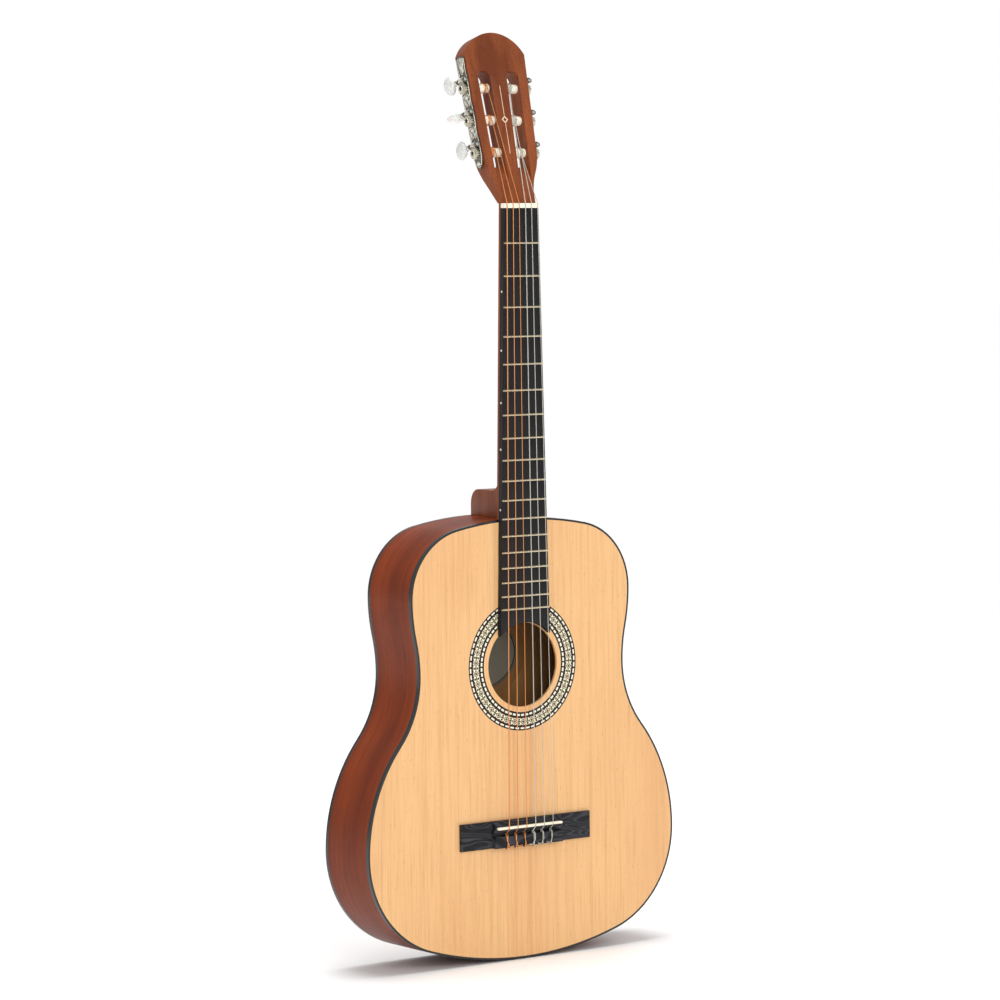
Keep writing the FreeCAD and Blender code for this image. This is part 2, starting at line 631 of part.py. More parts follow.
def make_bridge():
    """Bridge with its wings, saddle ridge and drilled tie block, and the saddle in its slot."""
    bridge = body("Bridge")
    half = "(bridge_length / 2)"
    wings = Drawing(bridge, "XZ_Plane").contour(
        ("-" + half, BRIDGE_LOW), (half, BRIDGE_LOW), (half, BRIDGE_TOP), ("-" + half, BRIDGE_TOP)
    )
    pad(bridge, wings, "bridge_wing_height")
    ridge_back = f"({SADDLE_Z} - bridge_ridge_back)"
    section = Drawing(bridge, "YZ_Plane").contour(
        ("0", BRIDGE_LOW),
        ("-" + TIE_BLOCK, BRIDGE_LOW),
        ("-" + TIE_BLOCK, TIE_FRONT),
        ("-bridge_channel_height", TIE_FRONT),
        ("-bridge_channel_height", f"({TIE_FRONT} + channel_floor)"),
        (f"-({RIDGE_HEIGHT} - bridge_ridge_fall)", ridge_back),
        ("-" + RIDGE_HEIGHT, SADDLE_Z),
        ("-" + RIDGE_HEIGHT, f"({SADDLE_Z} + saddle_thickness)"),
        ("-bridge_front_height", BRIDGE_TOP),
        ("0", BRIDGE_TOP),
    )
    pad(bridge, section, "saddle_length + 4", both=True)
    pocket(bridge, saddle_shape(bridge, "saddle_floor"), along=True)
    holes = Drawing(bridge, "XY_Plane", f"({BRIDGE_LOW} - 1)")
    for which, diameter in STRING_DIAMETERS.items():
        holes.circle(string_x(which, "string_span_saddle"), "-" + TIE_HOLE,
                     f"({diameter / 2} + tie_hole_clearance)")
    pocket(bridge, holes, "(tie_block_width + 2)", along=True)
    keep(bridge, "bridge")
    saddle = body("Saddle")
    pad(saddle, saddle_shape(saddle, "saddle_floor"), f"({SADDLE_TOP} - saddle_floor)")
    crown, above = "(saddle_thickness / 2)", f"({SADDLE_TOP} + saddle_thickness)"
    for edge, turn in (("+", -1), ("-", 1)):
        waste = Drawing(saddle, "YZ_Plane").contour(
            ("-" + SADDLE_TOP, SADDLE_Z, crown, turn),
            (f"({crown} - {SADDLE_TOP})", f"({SADDLE_Z} {edge} {crown})"),
            (f"({crown} - {SADDLE_TOP})", f"({SADDLE_Z} {edge} saddle_thickness)"),
            ("-" + above, f"({SADDLE_Z} {edge} saddle_thickness)"),
            ("-" + above, SADDLE_Z),
        )
        pocket(saddle, waste, both=True)
    keep(saddle, "saddle")


# ---- Neck, fingerboard and nut ----------------------------------------------------------------

def neck_section(owner, height, width, depth):
    """The neck's D-shaped section at a height."""
    half = f"({width} / 2)"
    rise = f"({depth} - neck_cheek)"
    radius = f"(({half} * {half} + {rise} * {rise}) / (2 * {rise}))"
    return Drawing(owner, "XY_Plane", height).contour(
        ("-" + half, "0"), (half, "0"), (half, "neck_cheek", radius, 1), ("-" + half, "neck_cheek")
    )


def make_neck():
    """Neck shaft and heel in one piece, hollowed where it bears on the body."""
    neck = body("Neck")
    nut_end = f"({NUT_Z} + nut_thickness)"
    low = neck_section(neck, "(body_length - 12)", board_width("(body_length - 12)"), "neck_depth_joint")
    high = neck_section(neck, nut_end, "board_width_nut", "neck_depth_nut")
    shaft = neck.newObject("PartDesign::AdditiveLoft", "NeckShaft")
    shaft.Profile = low.sketch
    shaft.Sections = [high.sketch]
    top = "(body_length + heel_rise)"
    inside = "(neck_depth_joint - 3)"
    throat_y = "(neck_depth_joint - 1 + heel_throat)"
    profile = Drawing(neck, "YZ_Plane").contour(
        (inside, "(body_length - 12)"),
        (HEEL_DEPTH, "(body_length - 12)"),
        (HEEL_DEPTH, f"({top} - heel_corner)", "(heel_corner * 1.01)", 1),
        (f"({HEEL_DEPTH} - heel_corner)", top),
        (throat_y, top, "(heel_throat * 1.01)", -1),
        ("(neck_depth_joint - 1)", f"({top} + heel_throat)"),
        (inside, f"({top} + heel_throat)"),
    )
    pad(neck, profile, "heel_width", both=True)
    for side in ("", "-"):
        waste = Drawing(neck, "XY_Plane", "body_length").contour(
            (f"{side}(heel_width / 2)", "(neck_depth_joint - 2)"),
            (f"{side}(heel_width / 2 + 4)", "(neck_depth_joint - 2)"),
            (f"{side}(heel_width / 2 + 4)", f"({HEEL_DEPTH} + 2)"),
            (f"{side}(heel_back_width / 2)", f"({HEEL_DEPTH} + 2)"),
        )
        pocket(neck, waste, both=True)
    pocket(neck, Drawing(neck, "XZ_Plane").contour(*outline("0")))
    keep(neck, "neck")


def make_fingerboard():
    """Fingerboard with its frets and side dots, each let into it."""
    blank = body("BoardBlank")
    end_radius = "(hole_radius + board_end_gap)"
    end_width = board_width(f"({HOLE_Z} + hole_radius * 0.78)")
    end_z = f"({HOLE_Z} + sqrt({end_radius} * {end_radius} - {end_width} * {end_width} / 4))"
    half_end = f"({end_width} / 2)"
    shape = Drawing(blank, "XZ_Plane").contour(
        (half_end, end_z), ("(board_width_nut / 2)", NUT_Z), ("(-board_width_nut / 2)", NUT_Z),
        ("-" + half_end, end_z, end_radius, -1),
    )
    pad(blank, shape, "board_thickness")
    bars = body("FretBars")
    rows = Drawing(bars, "YZ_Plane")
    crown = "((fret_width * fret_width / 4 + fret_height * fret_height) / (2 * fret_height))"
    for which in range(1, FRETS + 1):
        spot = fret_height_on_neck(which)
        low, high = f"({spot} - tang_width / 2)", f"({spot} + tang_width / 2)"
        rows.contour(
            ("-board_thickness", f"({spot} + fret_width / 2)", crown, 1),
            ("-board_thickness", f"({spot} - fret_width / 2)"),
            ("-board_thickness", low), ("(tang_depth - board_thickness)", low),
            ("(tang_depth - board_thickness)", high), ("-board_thickness", high),
        )
    pad(bars, rows, "(2 * board_width_joint)", both=True)
    field = body("FretField")
    inset_end, inset_nut = f"({half_end} - fret_inset)", "(board_width_nut / 2 - fret_inset)"
    pad(field, Drawing(field, "XZ_Plane").contour(
        (inset_end, end_z), (inset_nut, NUT_Z), ("-" + inset_nut, NUT_Z), ("-" + inset_end, end_z)
    ), "(board_thickness + 2 * fret_height)")
    frets = keep(boolean("Common", "Frets", bars, field), "frets")
    pegs = []
    for which in DOTTED_FRETS:
        spot = f"(({fret_height_on_neck(which)} + {fret_height_on_neck(which - 1)}) / 2)"
        peg = doc.addObject("Part::Cylinder", "DotPeg")
        peg.setExpression("Radius", bound("dot_radius"))
        peg.setExpression("Height", bound("(2 * dot_depth)"))
        edge = f"(-{board_width(spot)} / 2 - dot_depth)"
        pegs.append(place(peg, placement(edge, "(-board_thickness / 2)", spot, (0, 1, 0), "90")))
    dots = keep(boolean("Common", "SideDots", compound("DotPegs", pegs), blank), "side_dots")
    keep(boolean("Cut", "Fingerboard", blank, compound("BoardInlays", [frets, dots])), "fingerboard")


def make_nut():
    """Nut with a slot for each string."""
    nut = body("Nut")
    back = f"({NUT_Z} + nut_thickness)"
    pad(nut, Drawing(nut, "YZ_Plane").contour(
        ("0", NUT_Z), ("0", back), (f"-({NUT_HEIGHT} - nut_fall)", back),
        ("-" + NUT_HEIGHT, f"({NUT_Z} + nut_thickness / 2)"), ("-" + NUT_HEIGHT, NUT_Z),
    ), "board_width_nut", both=True)
    slots = Drawing(nut, "XY_Plane", NUT_Z)
    above = f"(-{NUT_HEIGHT} - nut_slot_depth)"
    for which, diameter in STRING_DIAMETERS.items():
        middle = string_x(which, NUT_SPAN)
        half = f"({diameter / 2} + nut_slot_gap)"
        slots.contour(
            (f"({middle} - {half})", above), (f"({middle} + {half})", above),
            (f"({middle} + {half})", "-" + NUT_SLOT), (f"({middle} - {half})", "-" + NUT_SLOT),
        )
    pocket(nut, slots, both=True)
    keep(nut, "nut")


# ---- Headstock --------------------------------------------------------------------------------

def screw_places():
    """Heights of a plate's screws: one below, two between the tuners and one above."""
    return ["(roller_first - plate_below - 5)", "(roller_first + roller_pitch - plate_below - 3.5)",
            f"({LAST_ROLLER} - plate_below - 3.5)", f"({LAST_ROLLER} + 24)"]


def slot_void(side):
    """Everything cut from one side of the head: slot, ramp, roller bores and screw holes."""
    void = body("SlotVoid" + ("Treble" if side > 0 else "Bass"))
    end = f"({SLOT_WALL} * 1.02)"
    slot = Drawing(void, "XZ_Plane", "2").contour(
        (SLOT_WALL, SLOT_LOW), (SLOT_WALL, SLOT_HIGH, end, 1),
        ("-" + SLOT_WALL, SLOT_HIGH), ("-" + SLOT_WALL, SLOT_LOW, end, 1),
    )
    pad(void, slot, "(head_thickness + 4)", back=True)
    ramp = Drawing(void, "YZ_Plane").contour(
        ("-2", f"({SLOT_LOW} - ramp_length - 4)"), ("ramp_depth", SLOT_LOW), ("-2", SLOT_LOW)
    )
    pad(void, ramp, "slot_width", both=True)
    reach = f"({SLOT_WALL} + roller_seat)"
    start = f"(-{side} * {reach})"
    bores = Drawing(void, "YZ_Plane", start)
    screws = Drawing(void, "YZ_Plane", f"({side} * ({RAIL_FACE} - screw_length))")
    for index in range(3):
        bores.circle(ROLLER_DEPTH, f"(roller_first + {index} * roller_pitch)",
                     "(roller_radius + roller_clearance)")
    for height in screw_places():
        screws.circle(ROLLER_DEPTH, height, "screw_radius")
    pad(void, bores, f"({reach} + {RAIL_FACE} + 2)", back=side < 0)
    pad(void, screws, "(screw_length + 2)", back=side < 0)
    return place(void, side_frame(side))


def head_half(height):
    """Half the head's width at a height, so its sides lie on the rails' outer faces."""
    return f"({SLOT_OFFSET} + {RAIL_FACE} / cos(head_taper) + {height} * tan(head_taper))"


def make_headstock():
    """Slotted headstock with a rounded crown, cut square behind the nut."""
    blank = body("HeadBlank")
    low_half = "(board_width_nut / 2 + 0.4)"
    throat_half, shoulder_half = head_half("roller_first"), head_half(SHOULDER)
    # Two equal arcs lead from the neck's straight side to the head's tapered one, tangent to both.
    step, rise = f"({throat_half} - {low_half})", "(roller_first - head_throat_low)"
    square = f"({step} * {step} + {rise} * {rise})"
    lean = f"({step} * (1 + cos(head_taper)) - {rise} * sin(head_taper))"
    curve = f"({square} / ({lean} + sqrt({lean} * {lean} + 2 * (1 - cos(head_taper)) * {square})))"
    middle_z = f"((roller_first + head_throat_low + {curve} * sin(head_taper)) / 2)"
    middle = f"(({low_half} + {throat_half} + {curve} * (1 - cos(head_taper))) / 2)"
    pad(blank, Drawing(blank, "XZ_Plane").contour(
        ("-" + low_half, "-12"), (low_half, "-12"),
        (low_half, "head_throat_low", curve, -1), (middle, middle_z, curve, 1),
        (throat_half, "roller_first"),
        (shoulder_half, SHOULDER, "head_crown_radius", 1),
        ("-" + shoulder_half, SHOULDER),
        ("-" + throat_half, "roller_first", curve, 1), ("-" + middle, middle_z, curve, -1),
        ("-" + low_half, "head_throat_low"),
    ), "head_thickness", back=True)
    foot, slope = "(nut_thickness / cos(head_tilt))", "tan(head_tilt)"
    far = "(head_thickness + 10)"
    pocket(blank, Drawing(blank, "YZ_Plane").contour(
        ("-10", f"({foot} - 10 * {slope})"), ("-10", "-40"),
        (far, "-40"), (far, f"({foot} + {far} * {slope})"),
    ), both=True)
    # The back of the head starts flush with the back of the neck and falls away to full thickness.
    neck_back = "((neck_depth_nut + head_face_rise - nut_thickness * tan(head_tilt)) * cos(head_tilt))"
    start_z = f"({foot} + {neck_back} * {slope})"
    pocket(blank, Drawing(blank, "YZ_Plane").contour(
        (neck_back, f"({start_z} - 10)"), (far, f"({start_z} - 10)"), (far, f"({start_z} + 26)"),
        ("head_thickness", f"({start_z} + 22)"), (neck_back, start_z),
    ), both=True)
    # The lower back corners thin out towards the round back of the neck.
    corner, edge, skin = f"({low_half} + 1)", f"({middle} + 1)", "(head_thickness - 0.5)"
    for sign in ("", "-"):
        before = blank.Tip
        thin = Drawing(blank, "XY_Plane").contour(
            (sign + corner, "0"), (sign + corner, far), (f"{sign}({corner} - {far})", far)
        )
        full = Drawing(blank, "XY_Plane", middle_z).contour(
            (sign + edge, skin), (sign + edge, far), (f"{sign}({edge} - {far} + {skin})", far)
        )
        taper = blank.newObject("PartDesign::SubtractiveLoft", "HeadTaper")
        taper.Profile = thin.sketch
        taper.Sections = [full.sketch]
        CUTS.append((before, taper))
    voids = compound("HeadVoids", [slot_void(-1), slot_void(1)])
    keep(place(boolean("Cut", "Headstock", blank, voids), HEAD_FRAME), "headstock")


# ---- Tuners -----------------------------------------------------------------------------------

def plate_outline(side_sign):
    """Half of the tuner plate's edge, from its foot to its crown, on one side of the rollers."""
    def spot(reach, height, radius=None, side=None):
        point = (f"({ROLLER_DEPTH} + {side_sign} * {reach})", height)
        return point if radius is None else point + (radius, side * side_sign)
    corners = [spot("plate_waist * 0.8", "(roller_first - plate_foot + 5)")]
    hollow = "((roller_pitch - plate_above - plate_below) / 2)"
    dip = "(plate_half - plate_waist)"
    scallop = f"(({hollow} * {hollow} + {dip} * {dip}) / (2 * {dip}))"
    for index in range(3):
        middle = f"(roller_first + {index} * roller_pitch)"
        corners.append(spot("plate_half", f"({middle} - plate_below)"))
        if index < 2:
            corners.append(spot("plate_half", f"({middle} + plate_above)", scallop, -1))
        else:
            corners.append(spot("plate_half", f"({middle} + plate_above)"))
    corners.append(spot("plate_waist", f"({LAST_ROLLER} + plate_above + 4)"))
    corners.append(spot("plate_half", f"({LAST_ROLLER} + plate_crown - 4)"))
    return corners


def make_plate(side, label):
    """Tuner plate of one side, with two bearings for each worm shaft."""
    plate = body("Plate" + ("Treble" if side > 0 else "Bass"))
    right, left = plate_outline(1), plate_outline(-1)
    foot = (ROLLER_DEPTH, "(roller_first - plate_foot)")
    crown = (ROLLER_DEPTH, f"({LAST_ROLLER} + plate_crown)")
    plain_left = [(u, v) for u, v, *_ in left]
    backward = plain_left[::-1]
    hollow_r = next(c[2] for c in right if len(c) == 4)
    for index in (3, 5):
        backward[index] = backward[index] + (hollow_r, -1)
    pad(plate, Drawing(plate, "YZ_Plane", f"({side} * {RAIL_FACE})").contour(foot, *right, crown, *backward),
        "plate_thickness", back=side < 0)
    axis = f"({side} * {WORM_OUT})"
    foot_x = f"({side} * ({PLATE_OUTER} - plate_thickness / 2))"
    tip_x = f"({side} * ({WORM_OUT} + lug_half))"
    for front in (LUG_FRONT, LUG_BACK):
        lugs = Drawing(plate, "XZ_Plane", f"(-{front})")
        for index in range(3):
            middle = f"(roller_first + {index} * roller_pitch + {WORM_DISTANCE})"
            low, high = f"({middle} - lug_half)", f"({middle} + lug_half)"
            lugs.contour((foot_x, low), (axis, low), (tip_x, f"({middle} - lug_half * 0.5)"),
                         (tip_x, f"({middle} + lug_half * 0.5)"), (axis, high), (foot_x, high))
        pad(plate, lugs, "lug_thickness", back=True)
    bearings = Drawing(plate, "XZ_Plane")
    hubs = Drawing(plate, "YZ_Plane")
    for index in range(3):
        height = f"(roller_first + {index} * roller_pitch"
        bearings.circle(axis, f"{height} + {WORM_DISTANCE})", "(shaft_radius + hub_clearance)")
        hubs.circle(ROLLER_DEPTH, f"{height})", "(hub_radius + hub_clearance)")
    for height in screw_places():
        hubs.circle(ROLLER_DEPTH, height, "screw_radius")
    pocket(plate, bearings, both=True)
    pocket(plate, hubs, both=True)
    keep(place(plate, f"{HEAD_FRAME} * {side_frame(side)}"), label)


def make_plate_screws():
    """The eight screws that hold the plates to the head."""
    screws = []
    for side in (-1, 1):
        for height in screw_places():
            screw = body("PlateScrew")
            start = f"({side} * ({RAIL_FACE} - screw_length))"
            pad(screw, Drawing(screw, "YZ_Plane", start).circle(ROLLER_DEPTH, height, "screw_radius"),
                "(screw_length + plate_thickness)", back=side < 0)
            top = f"({side} * {PLATE_OUTER})"
            pad(screw, Drawing(screw, "YZ_Plane", top).circle(ROLLER_DEPTH, height, "screw_head_radius"),
                "screw_head_height", back=side < 0)
            screws.append(place(screw, f"{HEAD_FRAME} * {side_frame(side)}"))
    keep(compound("PlateScrews", screws), "tuner_plate_screws")


def make_worm(which, side, spot):
    """Worm shaft with its collar, from its front end to the button's socket."""
    worm = body(f"Worm{which}")
    front, back = f"({LUG_FRONT} - shaft_front)", f"({BUTTON_START} + button_socket)"
    worm_start = f"({LUG_FRONT} + lug_thickness + lug_gap)"
    worm_end = f"({LUG_BACK} - lug_gap)"
    collar_end = f"({COLLAR} + collar_length)"
    profile = Drawing(worm, "XY_Plane").contour(
        ("0", front), ("shaft_radius", front), ("shaft_radius", worm_start), ("worm_radius", worm_start),
        ("worm_radius", worm_end), ("shaft_radius", worm_end), ("shaft_radius", COLLAR),
        ("collar_radius", COLLAR), ("collar_radius", collar_end), ("shaft_radius", collar_end),
        ("shaft_radius", back), ("0", back),
    )
    turned = worm.newObject("PartDesign::Revolution", worm.Name + "Turned")
    turned.Profile = profile.sketch
    turned.ReferenceAxis = (profile.sketch, ["V_Axis"])
    turned.Angle = 360
    keep(place(worm, worm_frame(side, spot)), f"worm_shaft_{which}")


def make_button(which, side, spot):
    """Tuner button on the end of a worm shaft, turned as the player left it."""
    button = body(f"Button{which}")
    end, wide = f"({BUTTON_START} + button_length)", f"({BUTTON_START} + button_length * 0.45)"
    neck, tip = "(button_half * 0.32)", "(button_half * 0.55)"
    flank = "(button_length * 0.62)"
    pad(button, Drawing(button, "YZ_Plane").contour(
        (BUTTON_START, "-" + neck), (wide, "-button_half", flank, 1), (end, "-" + tip),
        (end, tip, flank, 1), (wide, "button_half"), (BUTTON_START, neck),
    ), "button_thickness", both=True)
    socket = Drawing(button, "XZ_Plane", "-" + BUTTON_START).circle("0", "0", "shaft_radius")
    pocket(button, socket, "button_socket")
    turn = placement("0", "0", "0", (0, 1, 0), str(BUTTON_TURNS[which]))
    keep(place(button, f"{worm_frame(side, spot)} * {turn}"), f"tuner_button_{which}")


def make_gear(which, side, spot):
    """Gear with its hub through the plate and the screw that holds it."""
    gear = body(f"Gear{which}")
    hub = Drawing(gear, "YZ_Plane", f"({side} * {ROLLER_OUTER})").circle("0", "0", "hub_radius")
    pad(gear, hub, f"({GEAR_INNER} - {ROLLER_OUTER})", back=side < 0)
    wheel = Drawing(gear, "YZ_Plane", f"({side} * {GEAR_INNER})").circle("0", "0", "gear_tip")
    pad(gear, wheel, "gear_thickness", back=side < 0)
    screw_start = f"({side} * ({GEAR_INNER} + gear_thickness))"
    screw = Drawing(gear, "YZ_Plane", screw_start).circle("0", "0", "gear_screw_radius")
    pad(gear, screw, "gear_screw_height", back=side < 0)
    tooth = "(180 / gear_teeth)"
    wide, narrow = f"(gear_tip * sin({tooth} * 0.62))", f"({GEAR_ROOT} * sin({tooth} * 0.36))"
    gap = Drawing(gear, "YZ_Plane").contour(
        ("-" + narrow, GEAR_ROOT), (narrow, GEAR_ROOT), (wide, "(gear_tip + 0.5)"),
        ("-" + wide, "(gear_tip + 0.5)"),
    )
    cut = pocket(gear, gap, both=True)
    ring = gear.newObject("PartDesign::PolarPattern", gear.Name + "Teeth")
    ring.Originals = [cut]
    ring.Axis = (next(item for item in gear.Origin.OriginFeatures if item.Role == "X_Axis"), [""])
    ring.setExpression("Occurrences", bound("gear_teeth"))
    ring.Angle = 360
    gear.Tip = ring
    slot_floor = f"({side} * ({GEAR_INNER} + gear_thickness + gear_screw_height / 2))"
    slot = Drawing(gear, "YZ_Plane", slot_floor).contour(
        ("-gear_screw_radius", "-0.35"), ("gear_screw_radius", "-0.35"),
        ("gear_screw_radius", "0.35"), ("-gear_screw_radius", "0.35"),
    )
    pocket(gear, slot, "gear_screw_height", along=side > 0)
    keep(place(gear, roller_frame(side, spot)), f"worm_gear_{which}")


def make_roller(which, side, spot):
    """String roller across its slot, with the string's hole and the string's turns."""
    roller = body(f"Roller{which}")
    start = f"(-{side} * {ROLLER_INNER})"
    pad(roller, Drawing(roller, "YZ_Plane", start).circle("0", "0", "roller_radius"),
        f"({ROLLER_INNER} + {ROLLER_OUTER})", back=side < 0)
    diameter = STRING_DIAMETERS[which]
    bend_edge = f"({BEND_PLACES[which]} + {diameter / 2} + wrap_gap)"
    past_turns = f"({side} * ({bend_edge} + wrap_turns * {diameter} + hole_gap))"
    hole = Drawing(roller, "XZ_Plane").circle(past_turns, "0", "roller_hole")
    pocket(roller, hole, both=True)
    keep(place(roller, roller_frame(side, spot)), f"string_roller_{which}")
    wrap = body(f"Wrap{which}")
    turns = Drawing(wrap, "YZ_Plane", f"({side} * {bend_edge})")
    turns.circle("0", "0", f"(roller_radius + {diameter})").circle("0", "0", "roller_radius")
    pad(wrap, turns, f"(wrap_turns * {diameter})", back=side < 0)
    keep(place(wrap, roller_frame(side, spot)), f"string_wrap_{which}")


# ---- Strings ----------------------------------------------------------------------------------

def rounded_path(points, radii):
    """Straight runs joined by tangent arcs: radii gives the bend at each inner point."""
    edges, at = [], points[0]
    for index in range(1, len(points) - 1):
        corner, radius = points[index], radii[index - 1]
        incoming = (corner - points[index - 1]).normalize()
        outgoing = (points[index + 1] - corner).normalize()
        half = incoming.getAngle(outgoing) / 2
        setback = radius * math.tan(half)
        start, end = corner - incoming * setback, corner + outgoing * setback
        inward = (outgoing - incoming).normalize()
        middle = corner + inward * (radius / math.cos(half) - radius)
        edges.append(Part.LineSegment(at, start).toShape())
        edges.append(Part.Arc(start, middle, end).toShape())
        at = end
    edges.append(Part.LineSegment(at, points[-1]).toShape())
    return edges


def tangent_normal(point, centre, radius):
    """Seen along x, the normal of the tangent from a point to the front (-y side) of a circle."""
    away = point - centre
    toward = math.atan2(away.z, away.y)
    opening = math.acos(radius / math.hypot(away.y, away.z))
    angle = min((toward + opening, toward - opening), key=math.cos)
    return FreeCAD.Vector(0, math.cos(angle), math.sin(angle))


def saddle_corner(x, radius, behind, ahead):
    """Where a string's two straight runs would meet over the saddle's round crown."""
    crown = number("saddle_thickness / 2")
    bend = crown + radius + number("string_rest_gap")
    centre = FreeCAD.Vector(x, crown - number(SADDLE_TOP), number(SADDLE_Z))
    back, front = (tangent_normal(point, centre, bend) for point in (behind, ahead))
    return centre + (back + front) * (bend / (1 + back.dot(front))), bend


def make_string(which):
    """A string from its tie, over saddle and nut, to its last bend on the roller.

    The string is a round tube along straight runs and tangent arcs. The turns beyond the last bend
    are the wrap on the roller, which turns with it.
    """
    side = STRING_ROLLERS[which][0]
    radius = STRING_DIAMETERS[which] / 2
    gap = number("string_rest_gap")
    x_low, x_high = number(string_x(which, "string_span_saddle")), number(string_x(which, NUT_SPAN))
    block_low = number(BRIDGE_LOW)
    block_high = number(TIE_FRONT)
    over = -(number(TIE_BLOCK) + radius + gap)
    hole = -number(TIE_HOLE)
    loop = number("tie_loop_radius")
    behind = block_low - radius - number("tie_loop_gap")
    leaves_hole = FreeCAD.Vector(x_low, hole, block_high + number("tie_lead"))
    on_nut = -(number(NUT_SLOT) + radius + 2 * gap)
    nut_edge = FreeCAD.Vector(x_high, on_nut, number(NUT_Z) + number("nut_thickness"))
    on_saddle, saddle_bend = saddle_corner(x_low, radius, leaves_hole, nut_edge)
    frame = next(item for item in SUBPARTS if item.Label == f"string_roller_{which}").Placement
    circle = number("roller_radius") + radius + number("wrap_gap")
    normal = tangent_normal(frame.inverse().multVec(nut_edge), FreeCAD.Vector(0, 0, 0), circle)
    angle = math.atan2(normal.z, normal.y)

    def on_roller(turned):
        """A point of the last bend, in the row."""
        spot = FreeCAD.Vector(side * BEND_PLACES[which], circle * math.cos(turned), circle * math.sin(turned))
        return frame.multVec(spot)

    touch = on_roller(angle)
    along = frame.Rotation.multVec(FreeCAD.Vector(0, normal.z, -normal.y))
    lead_in = touch - along * number("roller_lead")
    edges = rounded_path(
        [FreeCAD.Vector(x_low, over, block_high), FreeCAD.Vector(x_low, over, behind),
         FreeCAD.Vector(x_low, hole, behind), leaves_hole, on_saddle, nut_edge, lead_in, touch],
        [loop, loop, number("string_bend"), saddle_bend, number("string_bend"), number("roller_bend")],
    )
    bend_angles = [angle - math.radians(number("roller_hold") * share) for share in (0, 0.5, 1)]
    edges.append(Part.Arc(*[on_roller(turned) for turned in bend_angles]).toShape())
    path = Part.Wire(edges)
    first = edges[0]
    ring = Part.Wire([Part.Circle(first.valueAt(first.FirstParameter), first.tangentAt(first.FirstParameter),
                                  radius).toShape()])
    tube = path.makePipeShell([ring], True, False, 1)
    expected = math.pi * radius**2 * path.Length
    print(f"string_{which}: {path.Length:.1f} mm long, volume {tube.Volume:.1f} of {expected:.1f}")
    if abs(tube.Volume / expected - 1) > 0.01:
        raise RuntimeError(f"string_{which} isn't a whole tube")
    item = doc.addObject("Part::Feature", f"String{which}")
    item.Shape = tube
    keep(item, f"string_{which}")


# ---- Assembly ---------------------------------------------------------------------------------

def check_and_write():
    """Check every object and every sub-part, then write each sub-part to its own file."""
    doc.recompute()
    for item in doc.Objects:
        if "Invalid" in item.State or "Error" in item.State:
            raise RuntimeError(f"{item.Name} failed to build")
    for before, cut in CUTS:
        if cut.Shape.Volume > before.Shape.Volume - 1e-4:
            raise RuntimeError(f"{cut.Name} removes nothing")
    for item in SUBPARTS:
        if item.Shape.isNull() or not item.Shape.isValid() or item.Shape.Volume <= 0:
            raise RuntimeError(f"{item.Label} is not a valid solid")
    os.makedirs("parts", exist_ok=True)
    for item in SUBPARTS:
        item.Shape.exportStep(f"parts/{item.Label}.step")
    print(len(SUBPARTS), "sub-parts written")


make_soundboard()
make_back()
make_sides()
make_bindings()
body_blocks = make_blocks()
make_linings(body_blocks)
make_braces()
make_bridge()
make_neck()
make_fingerboard()
make_nut()
make_headstock()
make_plate(-1, "tuner_plate_bass")
make_plate(1, "tuner_plate_treble")
make_plate_screws()
for string, (head_side, roller_place) in STRING_ROLLERS.items():
    make_worm(string, head_side, roller_place)
    make_button(string, head_side, roller_place)
    make_gear(string, head_side, roller_place)
    make_roller(string, head_side, roller_place)
doc.recompute()
for string in STRING_DIAMETERS:
    make_string(string)
check_and_write()
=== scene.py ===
"""A classical guitar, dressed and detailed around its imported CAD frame.

The body, the neck and the strings keep the frame's own shapes, with softened edges where a maker
would round them. The tuners, the string turns, the knots at the bridge and the inlays are modelled
here. Everything is in metres in the frame's own axes: +Z up the neck, -Y out of the soundboard.
"""
import json
import logging
import math
from dataclasses import dataclass, field
from enum import Enum
from typing import ClassVar, TypeAlias

import bmesh
import bpy
from mathutils import Matrix, Vector


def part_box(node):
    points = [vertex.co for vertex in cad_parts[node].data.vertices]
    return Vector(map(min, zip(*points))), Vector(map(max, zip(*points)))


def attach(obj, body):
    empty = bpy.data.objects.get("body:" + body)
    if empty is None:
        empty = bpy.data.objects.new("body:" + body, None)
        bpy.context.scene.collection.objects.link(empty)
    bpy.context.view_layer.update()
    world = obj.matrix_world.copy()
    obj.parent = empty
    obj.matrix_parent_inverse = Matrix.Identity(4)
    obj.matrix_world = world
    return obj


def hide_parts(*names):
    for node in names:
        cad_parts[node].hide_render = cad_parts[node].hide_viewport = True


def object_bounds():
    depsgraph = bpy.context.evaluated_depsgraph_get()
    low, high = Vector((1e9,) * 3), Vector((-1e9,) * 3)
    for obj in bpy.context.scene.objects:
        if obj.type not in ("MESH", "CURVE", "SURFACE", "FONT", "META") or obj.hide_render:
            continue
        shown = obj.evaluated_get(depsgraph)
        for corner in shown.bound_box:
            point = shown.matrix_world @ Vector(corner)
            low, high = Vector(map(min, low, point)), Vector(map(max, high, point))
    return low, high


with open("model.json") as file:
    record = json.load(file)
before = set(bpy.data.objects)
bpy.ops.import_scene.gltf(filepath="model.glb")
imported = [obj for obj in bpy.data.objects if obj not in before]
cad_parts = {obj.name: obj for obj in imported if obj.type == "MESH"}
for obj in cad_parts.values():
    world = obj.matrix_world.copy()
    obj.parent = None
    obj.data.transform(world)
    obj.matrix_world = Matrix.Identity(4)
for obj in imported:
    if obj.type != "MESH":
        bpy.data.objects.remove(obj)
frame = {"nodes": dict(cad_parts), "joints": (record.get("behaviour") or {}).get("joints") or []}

LOG = logging.getLogger("guitar")
CAD_LOW, CAD_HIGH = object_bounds()
MM = 0.001
WHOLE_TURN = 2 * math.pi
Colour = tuple[float, float, float, float]


